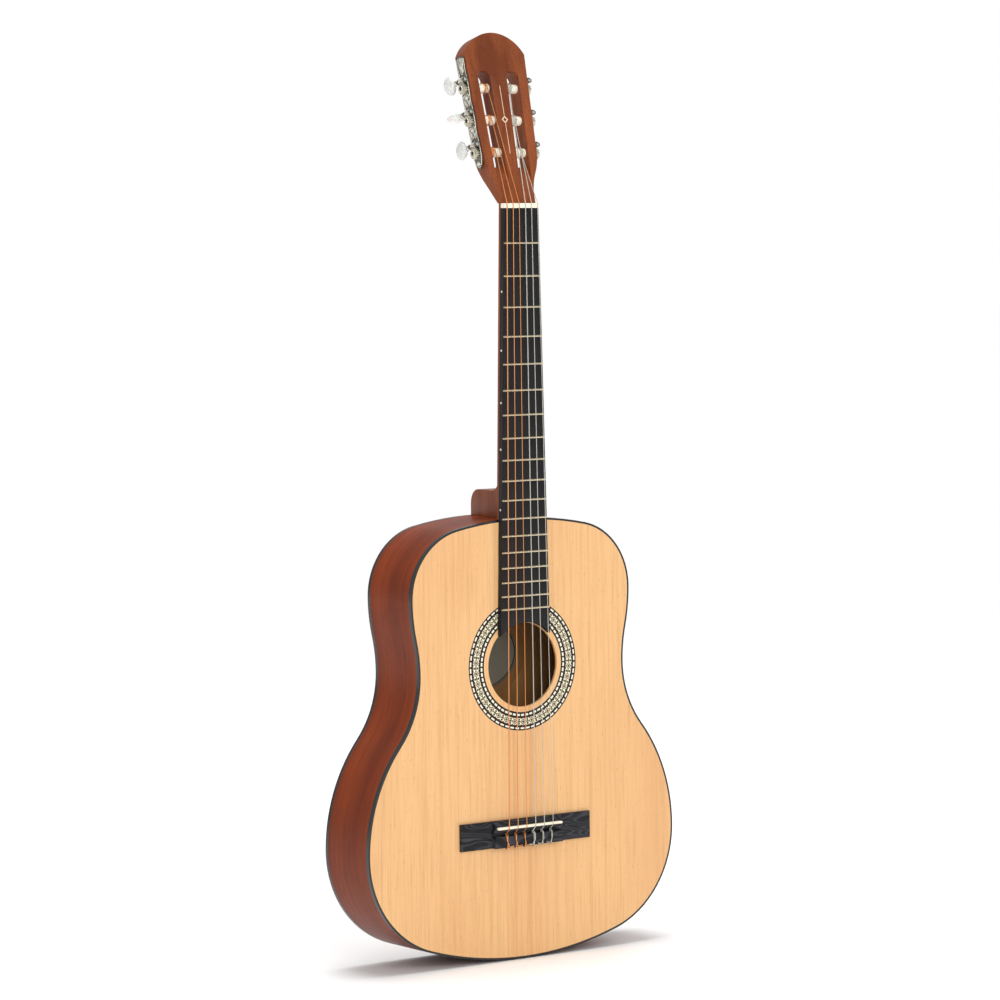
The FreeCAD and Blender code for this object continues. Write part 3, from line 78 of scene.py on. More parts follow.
def dye(red: int, green: int, blue: int) -> Colour:
    """Turn a screen's colour, 0 to 255 a channel, into the linear colour that a shader needs.

    Args:
        red: Red channel.
        green: Green channel.
        blue: Blue channel.

    Returns:
        The linear colour with full alpha.
    """
    def linear(channel: int) -> float:
        """One channel on the linear scale."""
        share = channel / 255
        return share / 12.92 if share <= 0.04045 else ((share + 0.055) / 1.055) ** 2.4
    return (linear(red), linear(green), linear(blue), 1.0)


class Grain(Enum):
    """Which way a piece's grain runs: the pattern's scale along x, y and z, small along the grain."""

    UP_THE_NECK = (1.0, 1.0, 0.02)
    ROUND_THE_SIDES = (0.02, 1.0, 0.02)


# ---- Shading ----------------------------------------------------------------------------------

class Field:
    """A number that varies over a surface, with arithmetic that adds shader nodes."""

    def __init__(self, shading: "Shading", socket: bpy.types.NodeSocket) -> None:
        """Wrap a socket.

        Args:
            shading: The material being made.
            socket: The socket that carries the number.
        """
        self.shading = shading
        self.socket = socket

    def _with(self, operation: str, other: "Field | float" = 0.0) -> "Field":
        """Add a Math node with this field first."""
        return self.shading.arithmetic(operation, self, other)

    def __add__(self, other: "Field | float") -> "Field":
        """Sum."""
        return self._with("ADD", other)

    def __sub__(self, other: "Field | float") -> "Field":
        """Difference."""
        return self._with("SUBTRACT", other)

    def __mul__(self, other: "Field | float") -> "Field":
        """Product."""
        return self._with("MULTIPLY", other)

    def __truediv__(self, other: float) -> "Field":
        """Quotient."""
        return self._with("DIVIDE", other)

    def above(self, edge: float) -> "Field":
        """One where the field is over an edge, else zero."""
        return self._with("GREATER_THAN", edge)

    def below(self, edge: "Field | float") -> "Field":
        """One where the field is under an edge, else zero."""
        return self._with("LESS_THAN", edge)

    def between(self, low: float, high: float) -> "Field":
        """One where the field lies between two edges, else zero."""
        return self.above(low) * self.below(high)

    def cell(self) -> "Field":
        """The part after the decimal point."""
        return self._with("FRACT")

    def size(self) -> "Field":
        """The field without its sign."""
        return self._with("ABSOLUTE")

    def root(self) -> "Field":
        """Square root."""
        return self._with("SQRT")

    def power(self, exponent: float) -> "Field":
        """The field raised to a power."""
        return self._with("POWER", exponent)


Fed: TypeAlias = "Field | bpy.types.NodeSocket | float | Colour"


class Shading:
    """A material under construction, with short calls for the nodes that the finishes share."""

    def __init__(self, name: str) -> None:
        """Start a material with a Principled surface.

        Args:
            name: The material's name.
        """
        self.material = bpy.data.materials.new(name)
        self.material.use_nodes = True
        self.nodes = self.material.node_tree.nodes
        self.links = self.material.node_tree.links
        self.nodes.clear()
        output = self.nodes.new("ShaderNodeOutputMaterial")
        self.surface = self.nodes.new("ShaderNodeBsdfPrincipled")
        self.links.new(self.surface.outputs["BSDF"], output.inputs["Surface"])
        self.place = self.nodes.new("ShaderNodeTexCoord").outputs["Object"]

    def feed(self, socket: bpy.types.NodeSocket, value: Fed) -> None:
        """Link or set a socket.

        Args:
            socket: The input.
            value: A field or socket to link, or a plain value to set.
        """
        if isinstance(value, Field):
            self.links.new(value.socket, socket)
        elif isinstance(value, bpy.types.NodeSocket):
            self.links.new(value, socket)
        else:
            socket.default_value = value

    def wear(self, **settings: Fed) -> None:
        """Set the surface's inputs.

        Args:
            **settings: Values by the inputs' names, in small letters with underscores for spaces.
        """
        for name, value in settings.items():
            title = name.replace("_", " ")
            socket = next(s for s in self.surface.inputs if s.name.lower() == title.lower())
            self.feed(socket, value)

    def arithmetic(self, operation: str, first: "Field | float", second: "Field | float") -> Field:
        """Add a Math node.

        Args:
            operation: The node's operation.
            first: First operand.
            second: Second operand.

        Returns:
            The result.
        """
        node = self.nodes.new("ShaderNodeMath")
        node.operation = operation
        self.feed(node.inputs[0], first)
        self.feed(node.inputs[1], second)
        return Field(self, node.outputs[0])

    def axes(self) -> tuple[Field, Field, Field]:
        """Split the place on the piece.

        Returns:
            Its x, y and z, in metres.
        """
        node = self.nodes.new("ShaderNodeSeparateXYZ")
        self.links.new(self.place, node.inputs[0])
        return tuple(Field(self, socket) for socket in node.outputs)

    def joined(self, x: "Field | float", y: "Field | float", z: "Field | float") -> bpy.types.NodeSocket:
        """Join three numbers.

        Args:
            x: First number.
            y: Second number.
            z: Third number.

        Returns:
            The vector.
        """
        node = self.nodes.new("ShaderNodeCombineXYZ")
        for socket, value in zip(node.inputs, (x, y, z)):
            self.feed(socket, value)
        return node.outputs[0]

    def stretched(self, scale: tuple[float, float, float]) -> bpy.types.NodeSocket:
        """The place on the piece, scaled for a pattern.

        Args:
            scale: Cells per metre along each axis.

        Returns:
            The scaled vector.
        """
        node = self.nodes.new("ShaderNodeMapping")
        self.links.new(self.place, node.inputs["Vector"])
        node.inputs["Scale"].default_value = scale
        return node.outputs[0]

    def noise(self, vector: bpy.types.NodeSocket, scale: float = 1.0, detail: float = 3.0,
              roughness: float = 0.55, distortion: float = 0.0) -> Field:
        """Add a noise pattern.

        Args:
            vector: Where it is read.
            scale: Cells per unit of the vector.
            detail: Number of finer layers.
            roughness: Strength of the finer layers.
            distortion: How far it swirls.

        Returns:
            The pattern, 0 to 1.
        """
        node = self.nodes.new("ShaderNodeTexNoise")
        self.links.new(vector, node.inputs["Vector"])
        for name, value in (("Scale", scale), ("Detail", detail), ("Roughness", roughness),
                            ("Distortion", distortion)):
            node.inputs[name].default_value = value
        return Field(self, node.outputs[0])

    def cells(self, vector: bpy.types.NodeSocket, scale: float) -> Field:
        """Add a pattern of cells.

        Args:
            vector: Where it is read.
            scale: Cells per unit of the vector.

        Returns:
            The distance to the nearest cell's point.
        """
        node = self.nodes.new("ShaderNodeTexVoronoi")
        self.links.new(vector, node.inputs["Vector"])
        node.inputs["Scale"].default_value = scale
        return Field(self, node.outputs["Distance"])

    def graded(self, amount: Field, low: float, high: float) -> Field:
        """Stretch and clamp a number.

        Args:
            amount: The number.
            low: What becomes 0.
            high: What becomes 1. It may be the smaller of the two.

        Returns:
            The number, 0 to 1.
        """
        node = self.nodes.new("ShaderNodeMapRange")
        self.links.new(amount.socket, node.inputs[0])
        node.inputs[1].default_value = low
        node.inputs[2].default_value = high
        return Field(self, node.outputs[0])

    def blend(self, amount: "Field | float", first: "bpy.types.NodeSocket | Colour",
              second: "bpy.types.NodeSocket | Colour", kind: str = "MIX") -> bpy.types.NodeSocket:
        """Mix two colours.

        Args:
            amount: Share of the second colour.
            first: First colour.
            second: Second colour.
            kind: The blend type.

        Returns:
            The mixed colour.
        """
        node = self.nodes.new("ShaderNodeMix")
        node.data_type = "RGBA"
        node.blend_type = kind
        sockets = [s for s in node.inputs if s.enabled]
        for socket, value in zip(sockets, (amount, first, second)):
            self.feed(socket, value)
        return next(s for s in node.outputs if s.enabled)

    def relief(self, height: Field, depth: float, strength: float = 1.0) -> None:
        """Raise the surface by a pattern.

        Args:
            height: The pattern, 0 to 1.
            depth: Its full height in metres.
            strength: How much of it shows.
        """
        node = self.nodes.new("ShaderNodeBump")
        node.inputs["Strength"].default_value = strength
        node.inputs["Distance"].default_value = depth
        self.links.new(height.socket, node.inputs["Height"])
        self.links.new(node.outputs[0], self.surface.inputs["Normal"])


@dataclass(frozen=True)
class Wood:
    """A wood finish: broad figure, fine lines, open pores and a coat of lacquer.

    Where pale_below is given, the wood that lies in front of that y is bare and unstained.
    """

    name: str
    light: Colour
    dark: Colour
    pore: Colour
    grain: Grain
    figure_cells: float = 45.0
    line_cells: float = 700.0
    pore_cells: float = 1700.0
    pore_share: float = 0.36
    line_strength: float = 0.35
    swirl: float = 0.6
    roughness: float = 0.42
    coat: float = 0.08
    coat_roughness: float = 0.22
    sheen_of_lacquer: float = 0.22
    relief_depth: float = 0.00006
    pale_below: float | None = None

    def material(self) -> bpy.types.Material:
        """Build the finish.

        Returns:
            The material.
        """
        shade = Shading(self.name)
        along = self.grain.value
        figure = shade.noise(shade.stretched(tuple(self.figure_cells * a for a in along)), detail=4,
                             distortion=self.swirl)
        lines = shade.noise(shade.stretched(tuple(self.line_cells * a for a in along)), detail=3)
        pores = shade.noise(shade.stretched(tuple(self.pore_cells * a for a in along)), detail=1)
        cloud = shade.noise(shade.place, scale=9.0, detail=2)
        mixed = shade.graded(figure * 0.75 + cloud * 0.35, 0.38, 0.72)
        colour = shade.blend(mixed, self.light, self.dark)
        colour = shade.blend(shade.graded(lines, 0.45, 0.7) * self.line_strength, colour, self.dark)
        open_pores = shade.graded(pores, self.pore_share, self.pore_share - 0.07)
        colour = shade.blend(open_pores * 0.7, colour, self.pore)
        if self.pale_below is not None:
            _, depth, _ = shade.axes()
            raw = shade.blend(mixed, dye(184, 138, 88), dye(138, 98, 58))
            colour = shade.blend(depth.below(self.pale_below), colour, raw)
        rough = lines * 0.12 + (self.roughness - 0.06) + open_pores * 0.15
        shade.wear(base_color=colour, roughness=rough, coat_weight=self.coat,
                   coat_roughness=self.coat_roughness, specular_ior_level=self.sheen_of_lacquer)
        shade.relief(lines * 0.4 - open_pores, self.relief_depth)
        return shade.material


@dataclass(frozen=True)
class StainedWood:
    """The bridge's black-stained wood, whose grey grain curls round like the lines of a map."""

    name: str = "bridge_wood"
    black: Colour = dye(10, 10, 13)
    grey: Colour = dye(82, 82, 90)
    lines_per_hill: float = 17.0

    def material(self) -> bpy.types.Material:
        """Build the finish.

        Returns:
            The material.
        """
        shade = Shading(self.name)
        hills = shade.noise(shade.stretched((15, 26, 42)), detail=1, distortion=0.5)
        contour = ((hills * self.lines_per_hill).cell() - 0.5).size() * 2
        fibres = shade.noise(shade.stretched((40, 800, 800)), detail=3)
        colour = shade.blend(shade.graded(contour, 0.3, 1.0).power(1.6) * 0.5, self.black, self.grey)
        colour = shade.blend(shade.graded(fibres, 0.5, 0.75) * 0.22, colour, self.grey)
        shade.wear(base_color=colour, roughness=fibres * 0.15 + 0.42, coat_weight=0.05, coat_roughness=0.25,
                   specular_ior_level=0.25)
        shade.relief(fibres * 0.7 + contour * 0.3, 0.00005)
        return shade.material


@dataclass(frozen=True)
class SpruceTop:
    """The bookmatched spruce soundboard: even rings, cross silk and a few darker streaks."""

    name: str = "spruce_top"
    early: Colour = dye(240, 192, 136)
    late: Colour = dye(196, 138, 84)
    blush: Colour = dye(222, 164, 112)
    ring_spacing: float = 1.5 * MM
    roughness: float = 0.4

    def material(self) -> bpy.types.Material:
        """Build the finish.

        Returns:
            The material.
        """
        shade = Shading(self.name)
        x, _, z = shade.axes()
        drift = shade.noise(shade.stretched((14, 1, 2.2)), detail=2) - 0.5
        across = x.size() + drift * 0.006
        spread = across + across * across * 1.1
        rings = (spread / self.ring_spacing).cell()
        late_wood = shade.graded(rings, 0.35, 0.98).power(2.2)
        fine = shade.noise(shade.stretched((1700, 1, 22)), detail=3)
        streaks = shade.noise(shade.stretched((210, 1, 3.0)), detail=4)
        lines = shade.noise(shade.stretched((620, 1, 14)), detail=2)
        broad = shade.noise(shade.stretched((9, 1, 3)), detail=3, distortion=0.8)
        silk = shade.noise(shade.stretched((40, 1, 420)), detail=2)
        darker = late_wood * 0.42 + shade.graded(streaks, 0.48, 0.75) * 0.3
        colour = shade.blend(darker, self.early, self.late)
        colour = shade.blend(shade.graded(broad, 0.45, 0.75) * 0.5, colour, self.blush)
        colour = shade.blend(shade.graded(lines, 0.52, 0.74) * 0.42, colour, self.late)
        colour = shade.blend(shade.graded(fine, 0.52, 0.8) * 0.28, colour, self.late)
        colour = shade.blend(shade.graded(silk, 0.62, 0.8) * 0.1, colour, dye(248, 214, 166))
        specks = shade.noise(shade.joined(x * 900, 0.0, z * 150), detail=0)
        colour = shade.blend(shade.graded(specks, 0.72, 0.79) * 0.26, colour, dye(150, 92, 50))
        middle = shade.graded(x.size() + drift * 0.02, 0.034, 0.006) * shade.graded(streaks, 0.36, 0.62)
        colour = shade.blend(middle * 0.34, colour, dye(214, 146, 98))
        shade.wear(base_color=colour, roughness=fine * 0.1 + (self.roughness - 0.05), coat_weight=0.12,
                   coat_roughness=0.2, specular_ior_level=0.25)
        shade.relief(late_wood * 0.6 + fine * 0.4, 0.00004)
        return shade.material


@dataclass(frozen=True)
class Mosaic:
    """The rosette: a flowered band between two dashed rings, in radii from the sound hole's centre."""

    centre_z: float
    name: str = "rosette_mosaic"
    inner_dashes: tuple[float, float] = (50.3, 56.2)
    flowers: tuple[float, float] = (56.2, 64.9)
    outer_dashes: tuple[float, float] = (64.9, 69.8)
    dash_count: int = 62
    flower_count: int = 34
    cream: Colour = dye(250, 242, 208)
    ink: Colour = dye(24, 20, 20)
    white: Colour = dye(246, 242, 222)
    red: Colour = dye(92, 34, 26)
    green: Colour = dye(38, 46, 28)
    wine: Colour = dye(66, 22, 16)

    def material(self) -> bpy.types.Material:
        """Build the finish.

        Returns:
            The material.
        """
        shade = Shading(self.name)
        x, _, z = shade.axes()
        across, up = x * 1000, (z - self.centre_z) * 1000
        radius = (across * across + up * up).root()
        turn = shade.arithmetic("ARCTAN2", up, across) / WHOLE_TURN + 0.5
        colour = shade.blend(self._flowers(radius, turn), self.cream, self.ink)
        petals, leaves = self._coloured(radius, turn)
        colour = shade.blend(petals, colour, self.red)
        colour = shade.blend(leaves, colour, self.green)
        for low, high in (self.inner_dashes, self.outer_dashes):
            wide = high - low
            band = radius.between(low, high)
            colour = shade.blend(band, colour, self.ink)
            dashes = (turn * self.dash_count).cell().below(0.7)
            strip = radius.between(low + wide * 0.34, high - wide * 0.30)
            colour = shade.blend(strip * dashes, colour, self.white)
        for edge in (self.flowers[0] + 0.25, self.flowers[1] - 0.25):
            colour = shade.blend(radius.between(edge - 0.5, edge + 0.5), colour, self.wine)
        grime = shade.noise(shade.place, scale=900, detail=2)
        colour = shade.blend(grime * 0.1, colour, dye(150, 120, 80), kind="MULTIPLY")
        shade.wear(base_color=colour, roughness=grime * 0.1 + 0.33, coat_weight=0.12, coat_roughness=0.16,
                   specular_ior_level=0.25)
        shade.relief(grime, 0.00002)
        return shade.material

    def _tile(self, radius: Field, turn: Field) -> tuple[Field, Field]:
        """Find a point's place in its flower's tile.

        Args:
            radius: The point's distance from the hole's centre, in millimetres.
            turn: Its share of the whole ring, 0 to 1.

        Returns:
            Its distances from the tile's middle, along the ring and across it, 0 to 0.5.
        """
        low, high = self.flowers
        along = ((turn * self.flower_count).cell() - 0.5).size()
        across = ((radius - low) / (high - low) - 0.5).size()
        return along, across

    def _flowers(self, radius: Field, turn: Field) -> Field:
        """The dark lines of the flowers.

        Args:
            radius: Distance from the hole's centre, in millimetres.
            turn: Share of the whole ring, 0 to 1.

        Returns:
            Above zero on the lines.
        """
        along, across = self._tile(radius, turn)
        diamond = along + across
        inside = radius.between(*self.flowers)
        outline = diamond.between(0.27, 0.39)
        heart = diamond.below(0.09)
        stalk = along.above(0.40) * across.between(0.14, 0.36)
        dots = along.between(0.16, 0.30) * across.between(0.33, 0.44)
        return (outline + heart + stalk + dots) * inside

    def _coloured(self, radius: Field, turn: Field) -> tuple[Field, Field]:
        """The coloured parts of the flowers.

        Args:
            radius: Distance from the hole's centre, in millimetres.
            turn: Share of the whole ring, 0 to 1.

        Returns:
            The red hearts and the green leaves.
        """
        along, across = self._tile(radius, turn)
        inside = radius.between(*self.flowers)
        diamond = along + across
        petals = diamond.between(0.1, 0.19) * inside
        leaves = along.above(0.38) * across.below(0.1) * inside
        return petals, leaves


@dataclass(frozen=True)
class Metal:
    """Plated or bare metal with fine scratches and uneven polish."""

    name: str
    colour: Colour
    tarnish: Colour
    roughness: float = 0.22

    def material(self) -> bpy.types.Material:
        """Build the finish.

        Returns:
            The material.
        """
        shade = Shading(self.name)
        cloud = shade.noise(shade.place, scale=260, detail=3)
        scratches = shade.noise(shade.stretched((900, 5200, 900)), detail=2)
        colour = shade.blend(shade.graded(cloud, 0.5, 0.8) * 0.45, self.colour, self.tarnish)
        rough = cloud * 0.16 + scratches * 0.08 + (self.roughness - 0.1)
        shade.wear(base_color=colour, metallic=1.0, roughness=rough)
        shade.relief(scratches, 0.000008)
        return shade.material


@dataclass(frozen=True)
class Moulded:
    """Plastic or bone: a slightly mottled colour that light enters."""

    name: str
    colour: Colour
    shade_colour: Colour
    roughness: float = 0.35
    subsurface: float = 0.0
    coat: float = 0.2
    mottle_scale: float = 420.0

    def material(self) -> bpy.types.Material:
        """Build the finish.

        Returns:
            The material.
        """
        shade = Shading(self.name)
        mottle = shade.noise(shade.place, scale=self.mottle_scale, detail=4, distortion=0.5)
        fine = shade.noise(shade.place, scale=5200, detail=1)
        colour = shade.blend(shade.graded(mottle, 0.4, 0.75) * 0.6, self.colour, self.shade_colour)
        shade.wear(base_color=colour, roughness=mottle * 0.12 + (self.roughness - 0.06),
                   coat_weight=self.coat, coat_roughness=0.12, subsurface_weight=self.subsurface,
                   subsurface_scale=0.002)
        shade.relief(fine * 0.5 + mottle, 0.000015)
        return shade.material


@dataclass(frozen=True)
class Pearl:
    """The swirled, milky plastic of the tuner buttons."""

    name: str = "button_pearl"
    milk: Colour = dye(240, 240, 236)
    smoke: Colour = dye(196, 198, 194)

    def material(self) -> bpy.types.Material:
        """Build the finish.

        Returns:
            The material.
        """
        shade = Shading(self.name)
        swirl = shade.noise(shade.place, scale=190, detail=4, distortion=2.6)
        flakes = shade.cells(shade.place, 520)
        colour = shade.blend(shade.graded(swirl, 0.35, 0.68), self.smoke, self.milk)
        colour = shade.blend(shade.graded(flakes, 0.25, 0.6) * 0.3, colour, dye(255, 255, 250))
        shade.wear(base_color=colour, roughness=swirl * 0.15 + 0.14, coat_weight=0.7, coat_roughness=0.06,
                   subsurface_weight=0.2, subsurface_scale=0.003, sheen_weight=0.15)
        shade.relief(swirl, 0.00002)
        return shade.material


@dataclass(frozen=True)
class StringFinish:
    """A string's surface: a winding of fine metal wire, or clear nylon."""

    name: str
    colour: Colour
    wound: bool
    turns_per_metre: float = 4200.0

    def material(self) -> bpy.types.Material:
        """Build the finish.

        Returns:
            The material.
        """
        shade = Shading(self.name)
        _, _, z = shade.axes()
        cloud = shade.noise(shade.stretched((60, 60, 14)), detail=2)
        if self.wound:
            winding = ((z * self.turns_per_metre).cell() - 0.5).size()
            colour = shade.blend(cloud * 0.6, self.colour, dye(196, 120, 70))
            shade.wear(base_color=colour, metallic=0.75, roughness=winding * 0.15 + 0.3)
            shade.relief(winding, 0.00004)
        else:
            colour = shade.blend(cloud * 0.5, self.colour, dye(196, 190, 176))
            shade.wear(base_color=colour, roughness=cloud * 0.1 + 0.16, transmission_weight=0.35, ior=1.53,
                       specular_ior_level=0.6)
            shade.relief(cloud, 0.00002)
        return shade.material


@dataclass(frozen=True)
class Paper:
    """The label inside the body: paper with a plain printed border, its grey-beige sheet darkened as
    painted shade, and darker brown outside the border.
    """

    centre_z: float
    name: str = "label_paper"
    # Painted shade: the sheet's grey-beige is darker than the paper itself, to look as it does in the
    # shadow inside the body.
    shaded_sheet_colour: Colour = dye(134, 126, 112)
    margin_colour: Colour = dye(150, 106, 62)
    line_colour: Colour = dye(46, 42, 38)

    def material(self) -> bpy.types.Material:
        """Build the finish.

        Returns:
            The material.
        """
        shade = Shading(self.name)
        x, _, z = shade.axes()
        across, up = x / 0.059, (z - self.centre_z) / 0.048
        oval = (across * across + up * up).root()
        fibres = shade.noise(shade.place, scale=700, detail=4)
        border = oval.between(0.76, 0.785) + oval.between(0.805, 0.815)
        # The sheet in its painted-shade grey-beige, mottled by fibres.
        colour = shade.blend(fibres * 0.3, self.shaded_sheet_colour, dye(140, 130, 108))
        colour = shade.blend(oval.above(0.815), colour, self.margin_colour)
        colour = shade.blend(border, colour, self.line_colour)
        shade.wear(base_color=colour, roughness=fibres * 0.1 + 0.8)
        shade.relief(fibres, 0.00003)
        return shade.material


class Finishes:
    """Every finish of the guitar, built once and found by name."""

    def __init__(self, hole_z: float, label_z: float, back_y: float) -> None:
        """Build them all.

        Args:
            hole_z: Height of the sound hole's centre.
            label_z: Height of the label's centre.
            back_y: Where the back's outer face lies.
        """
        mahogany = {"pore": dye(34, 12, 6), "roughness": 0.4}
        recipes = [
            SpruceTop(),
            Mosaic(centre_z=hole_z),
            Wood("mahogany_sides", dye(146, 60, 16), dye(88, 30, 8), grain=Grain.ROUND_THE_SIDES,
                 sheen_of_lacquer=0.12, **mahogany),
            Wood("mahogany_back", dye(140, 61, 22), dye(88, 34, 12), grain=Grain.UP_THE_NECK,
                 pale_below=back_y - 0.7 * MM, **mahogany),
            Wood("mahogany_neck", dye(152, 82, 46), dye(110, 54, 28), grain=Grain.UP_THE_NECK,
                 sheen_of_lacquer=0.14, **mahogany),
            Wood("inner_wood", dye(196, 160, 112), dye(160, 122, 78), dye(120, 86, 52), Grain.UP_THE_NECK,
                 coat=0.0, roughness=0.7),
            Wood("black_board", dye(26, 25, 28), dye(15, 14, 17), dye(6, 6, 7), Grain.UP_THE_NECK,
                 roughness=0.46, coat=0.05, line_cells=900, sheen_of_lacquer=0.25),
            StainedWood(),
            Moulded("black_binding", dye(14, 13, 15), dye(8, 7, 9), roughness=0.24, coat=0.2),
            Moulded("bone", dye(252, 247, 226), dye(236, 226, 196), roughness=0.3, subsurface=0.2),
            Moulded("roller_plastic", dye(255, 250, 232), dye(240, 230, 204), roughness=0.32,
                    subsurface=0.15),
            Moulded("dot_white", dye(240, 240, 234), dye(220, 220, 210), roughness=0.3),
            Metal("tuner_nickel", dye(232, 229, 218), dye(150, 145, 130), roughness=0.24),
            Metal("plate_ground", dye(120, 117, 109), dye(46, 44, 40), roughness=0.36),
            Metal("gear_metal", dye(214, 208, 190), dye(126, 118, 100), roughness=0.3),
            # Near black: painted shade for the recesses in the heads of the gear screws, which are metal.
            Moulded("recess_painted_shade", dye(16, 15, 15), dye(8, 8, 8), roughness=0.5),
            Metal("fret_metal", dye(222, 208, 178), dye(180, 160, 124), roughness=0.24),
            Pearl(),
            StringFinish("wound_string", dye(236, 164, 104), wound=True),
            StringFinish("nylon_string", dye(226, 222, 210), wound=False),
            Paper(centre_z=label_z),
            Moulded("inlay_white", dye(232, 206, 176), dye(214, 180, 146)),
        ]
        self.made = {recipe.name: recipe.material() for recipe in recipes}

    def __getitem__(self, name: str) -> bpy.types.Material:
        """The finish of that name."""
        return self.made[name]


# ---- Modelling --------------------------------------------------------------------------------

@dataclass
class Workbench:
    """Turns bmeshes into finished pieces that ride on the frame."""

    finishes: Finishes
    count: int = 0

    def finish(self, shape: bmesh.types.BMesh, name: str, body: str, finish: str, slot: str,
               replaces: tuple[str, ...] = (), crease: float = 35.0,
               facing: bool = True) -> bpy.types.Object:
        """Make a piece from a bmesh.

        Args:
            shape: The mesh, in the frame's axes. It is freed.
            name: The piece's name.
            body: The body it rides on.
            finish: Name of its finish.
            slot: The record's material slot it stands for. It is not used.
            replaces: CAD nodes it stands for.
            crease: Edges sharper than this angle, in degrees, stay sharp.
            facing: True to recalculate the normals.

        Returns:
            The piece.
        """
        if facing:
            bmesh.ops.recalc_face_normals(shape, faces=shape.faces)
        mesh = bpy.data.meshes.new(name)
        shape.to_mesh(mesh)
        shape.free()
        mesh.materials.append(self.finishes[finish])
        mesh.shade_smooth()
        mesh.set_sharp_from_angle(angle=math.radians(crease))
        piece = bpy.data.objects.new(name, mesh)
        bpy.context.scene.collection.objects.link(piece)
        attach(piece, body)
        if replaces:
            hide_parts(*replaces)
        self.count += 1
        LOG.info("%s: %d faces on %s", name, len(mesh.polygons), body)
        return piece

    def dress(self, node: str, finish: str) -> None:
        """Give a CAD node its finish.

        Args:
            node: The node.
            finish: Name of the finish.
        """
        piece = frame["nodes"][node]
        for index in range(len(piece.material_slots)):
            piece.material_slots[index].link = "OBJECT"
            piece.material_slots[index].material = self.finishes[finish]
        LOG.info("%s dressed in %s", node, finish)

    def softened(self, node: str, width: float, segments: int = 2,
                 crease: float = 40.0) -> bmesh.types.BMesh:
        """A copy of a CAD node with its sharp edges rounded.

        Args:
            node: The node.
            width: Width of the rounding, in metres.
            segments: Steps across the rounding.
            crease: Only edges sharper than this angle are rounded, in degrees.

        Returns:
            The copy.
        """
        shape = bmesh.new()
        shape.from_mesh(frame["nodes"][node].data)
        bmesh.ops.remove_doubles(shape, verts=shape.verts, dist=0.002 * MM)
        bmesh.ops.dissolve_limit(shape, angle_limit=math.radians(0.5), verts=shape.verts, edges=shape.edges)
        sharp = [e for e in shape.edges
                 if len(e.link_faces) == 2 and e.calc_face_angle(0.0) > math.radians(crease)]
        bmesh.ops.bevel(shape, geom=sharp, offset=width, offset_type="OFFSET", affect="EDGES",
                        segments=segments, profile=0.5, clamp_overlap=True, material=-1)
        return shape


def ring_of(shape: bmesh.types.BMesh, matrix: Matrix, segments: int) -> list[bmesh.types.BMEdge]:
    """Add a unit circle in the local xy plane and place it.

    Args:
        shape: The mesh.
        matrix: Its placement and scale.
        segments: Its number of sides.

    Returns:
        Its edges.
    """
    made = bmesh.ops.create_circle(shape, cap_ends=False, radius=1.0, segments=segments)
    bmesh.ops.transform(shape, matrix=matrix, verts=made["verts"])
    return list({edge for vert in made["verts"] for edge in vert.link_edges})


def drawn(shape: bmesh.types.BMesh, matrix: Matrix, stations: list[tuple[float, float, float]],
          segments: int = 32) -> list[bmesh.types.BMVert]:
    """Extrude a ring through stations along the local z axis and close both ends.

    Args:
        shape: The mesh.
        matrix: The local frame.
        stations: Height, half width along x and half width along y of each ring.
        segments: Sides of the ring.

    Returns:
        The new vertices.
    """
    height, wide, deep = stations[0]
    place = Matrix.Translation((0, 0, height)) @ Matrix.Diagonal((wide, deep, 1, 1))
    edges = ring_of(shape, place, segments)
    verts = list({v for e in edges for v in e.verts})
    made = list(verts)
    bmesh.ops.contextual_create(shape, geom=edges)
    for next_height, next_wide, next_deep in stations[1:]:
        grown = bmesh.ops.extrude_edge_only(shape, edges=edges)["geom"]
        verts = [g for g in grown if isinstance(g, bmesh.types.BMVert)]
        edges = [g for g in grown if isinstance(g, bmesh.types.BMEdge)]
        growth = Matrix.Diagonal((next_wide / wide, next_deep / deep, 1, 1))
        step = Matrix.Translation((0, 0, next_height)) @ growth
        bmesh.ops.transform(shape, matrix=step @ Matrix.Translation((0, 0, -height)), verts=verts)
        height, wide, deep = next_height, next_wide, next_deep
        made.extend(verts)
    bmesh.ops.contextual_create(shape, geom=edges)
    bmesh.ops.transform(shape, matrix=matrix, verts=made)
    return made


def helix(shape: bmesh.types.BMesh, matrix: Matrix, section: list[bmesh.types.BMVert], turns: float,
          climb: float, steps_per_turn: int) -> None:
    """Sweep a closed section about the local z axis while it climbs, and close both ends.

    Args:
        shape: The mesh.
        matrix: The local frame.
        section: The section's vertices, already in the local frame, off the axis.
        turns: Number of turns; negative turns the other way.
        climb: Rise per turn along z, in metres.
        steps_per_turn: Divisions of a turn.
    """
    before = set(shape.verts) - set(section)
    edges = list({e for v in section for e in v.link_edges if e.other_vert(v) in section})
    steps = max(3, round(abs(turns) * steps_per_turn))
    rise = climb * abs(turns) / steps
    first = bmesh.ops.contextual_create(shape, geom=edges)["faces"]
    bmesh.ops.spin(shape, geom=first + edges + section, cent=(0, 0, 0), axis=(0, 0, 1),
                   dvec=(0, 0, rise), angle=WHOLE_TURN * turns, steps=steps, use_duplicate=False)
    bmesh.ops.transform(shape, matrix=matrix, verts=[v for v in shape.verts if v not in before])


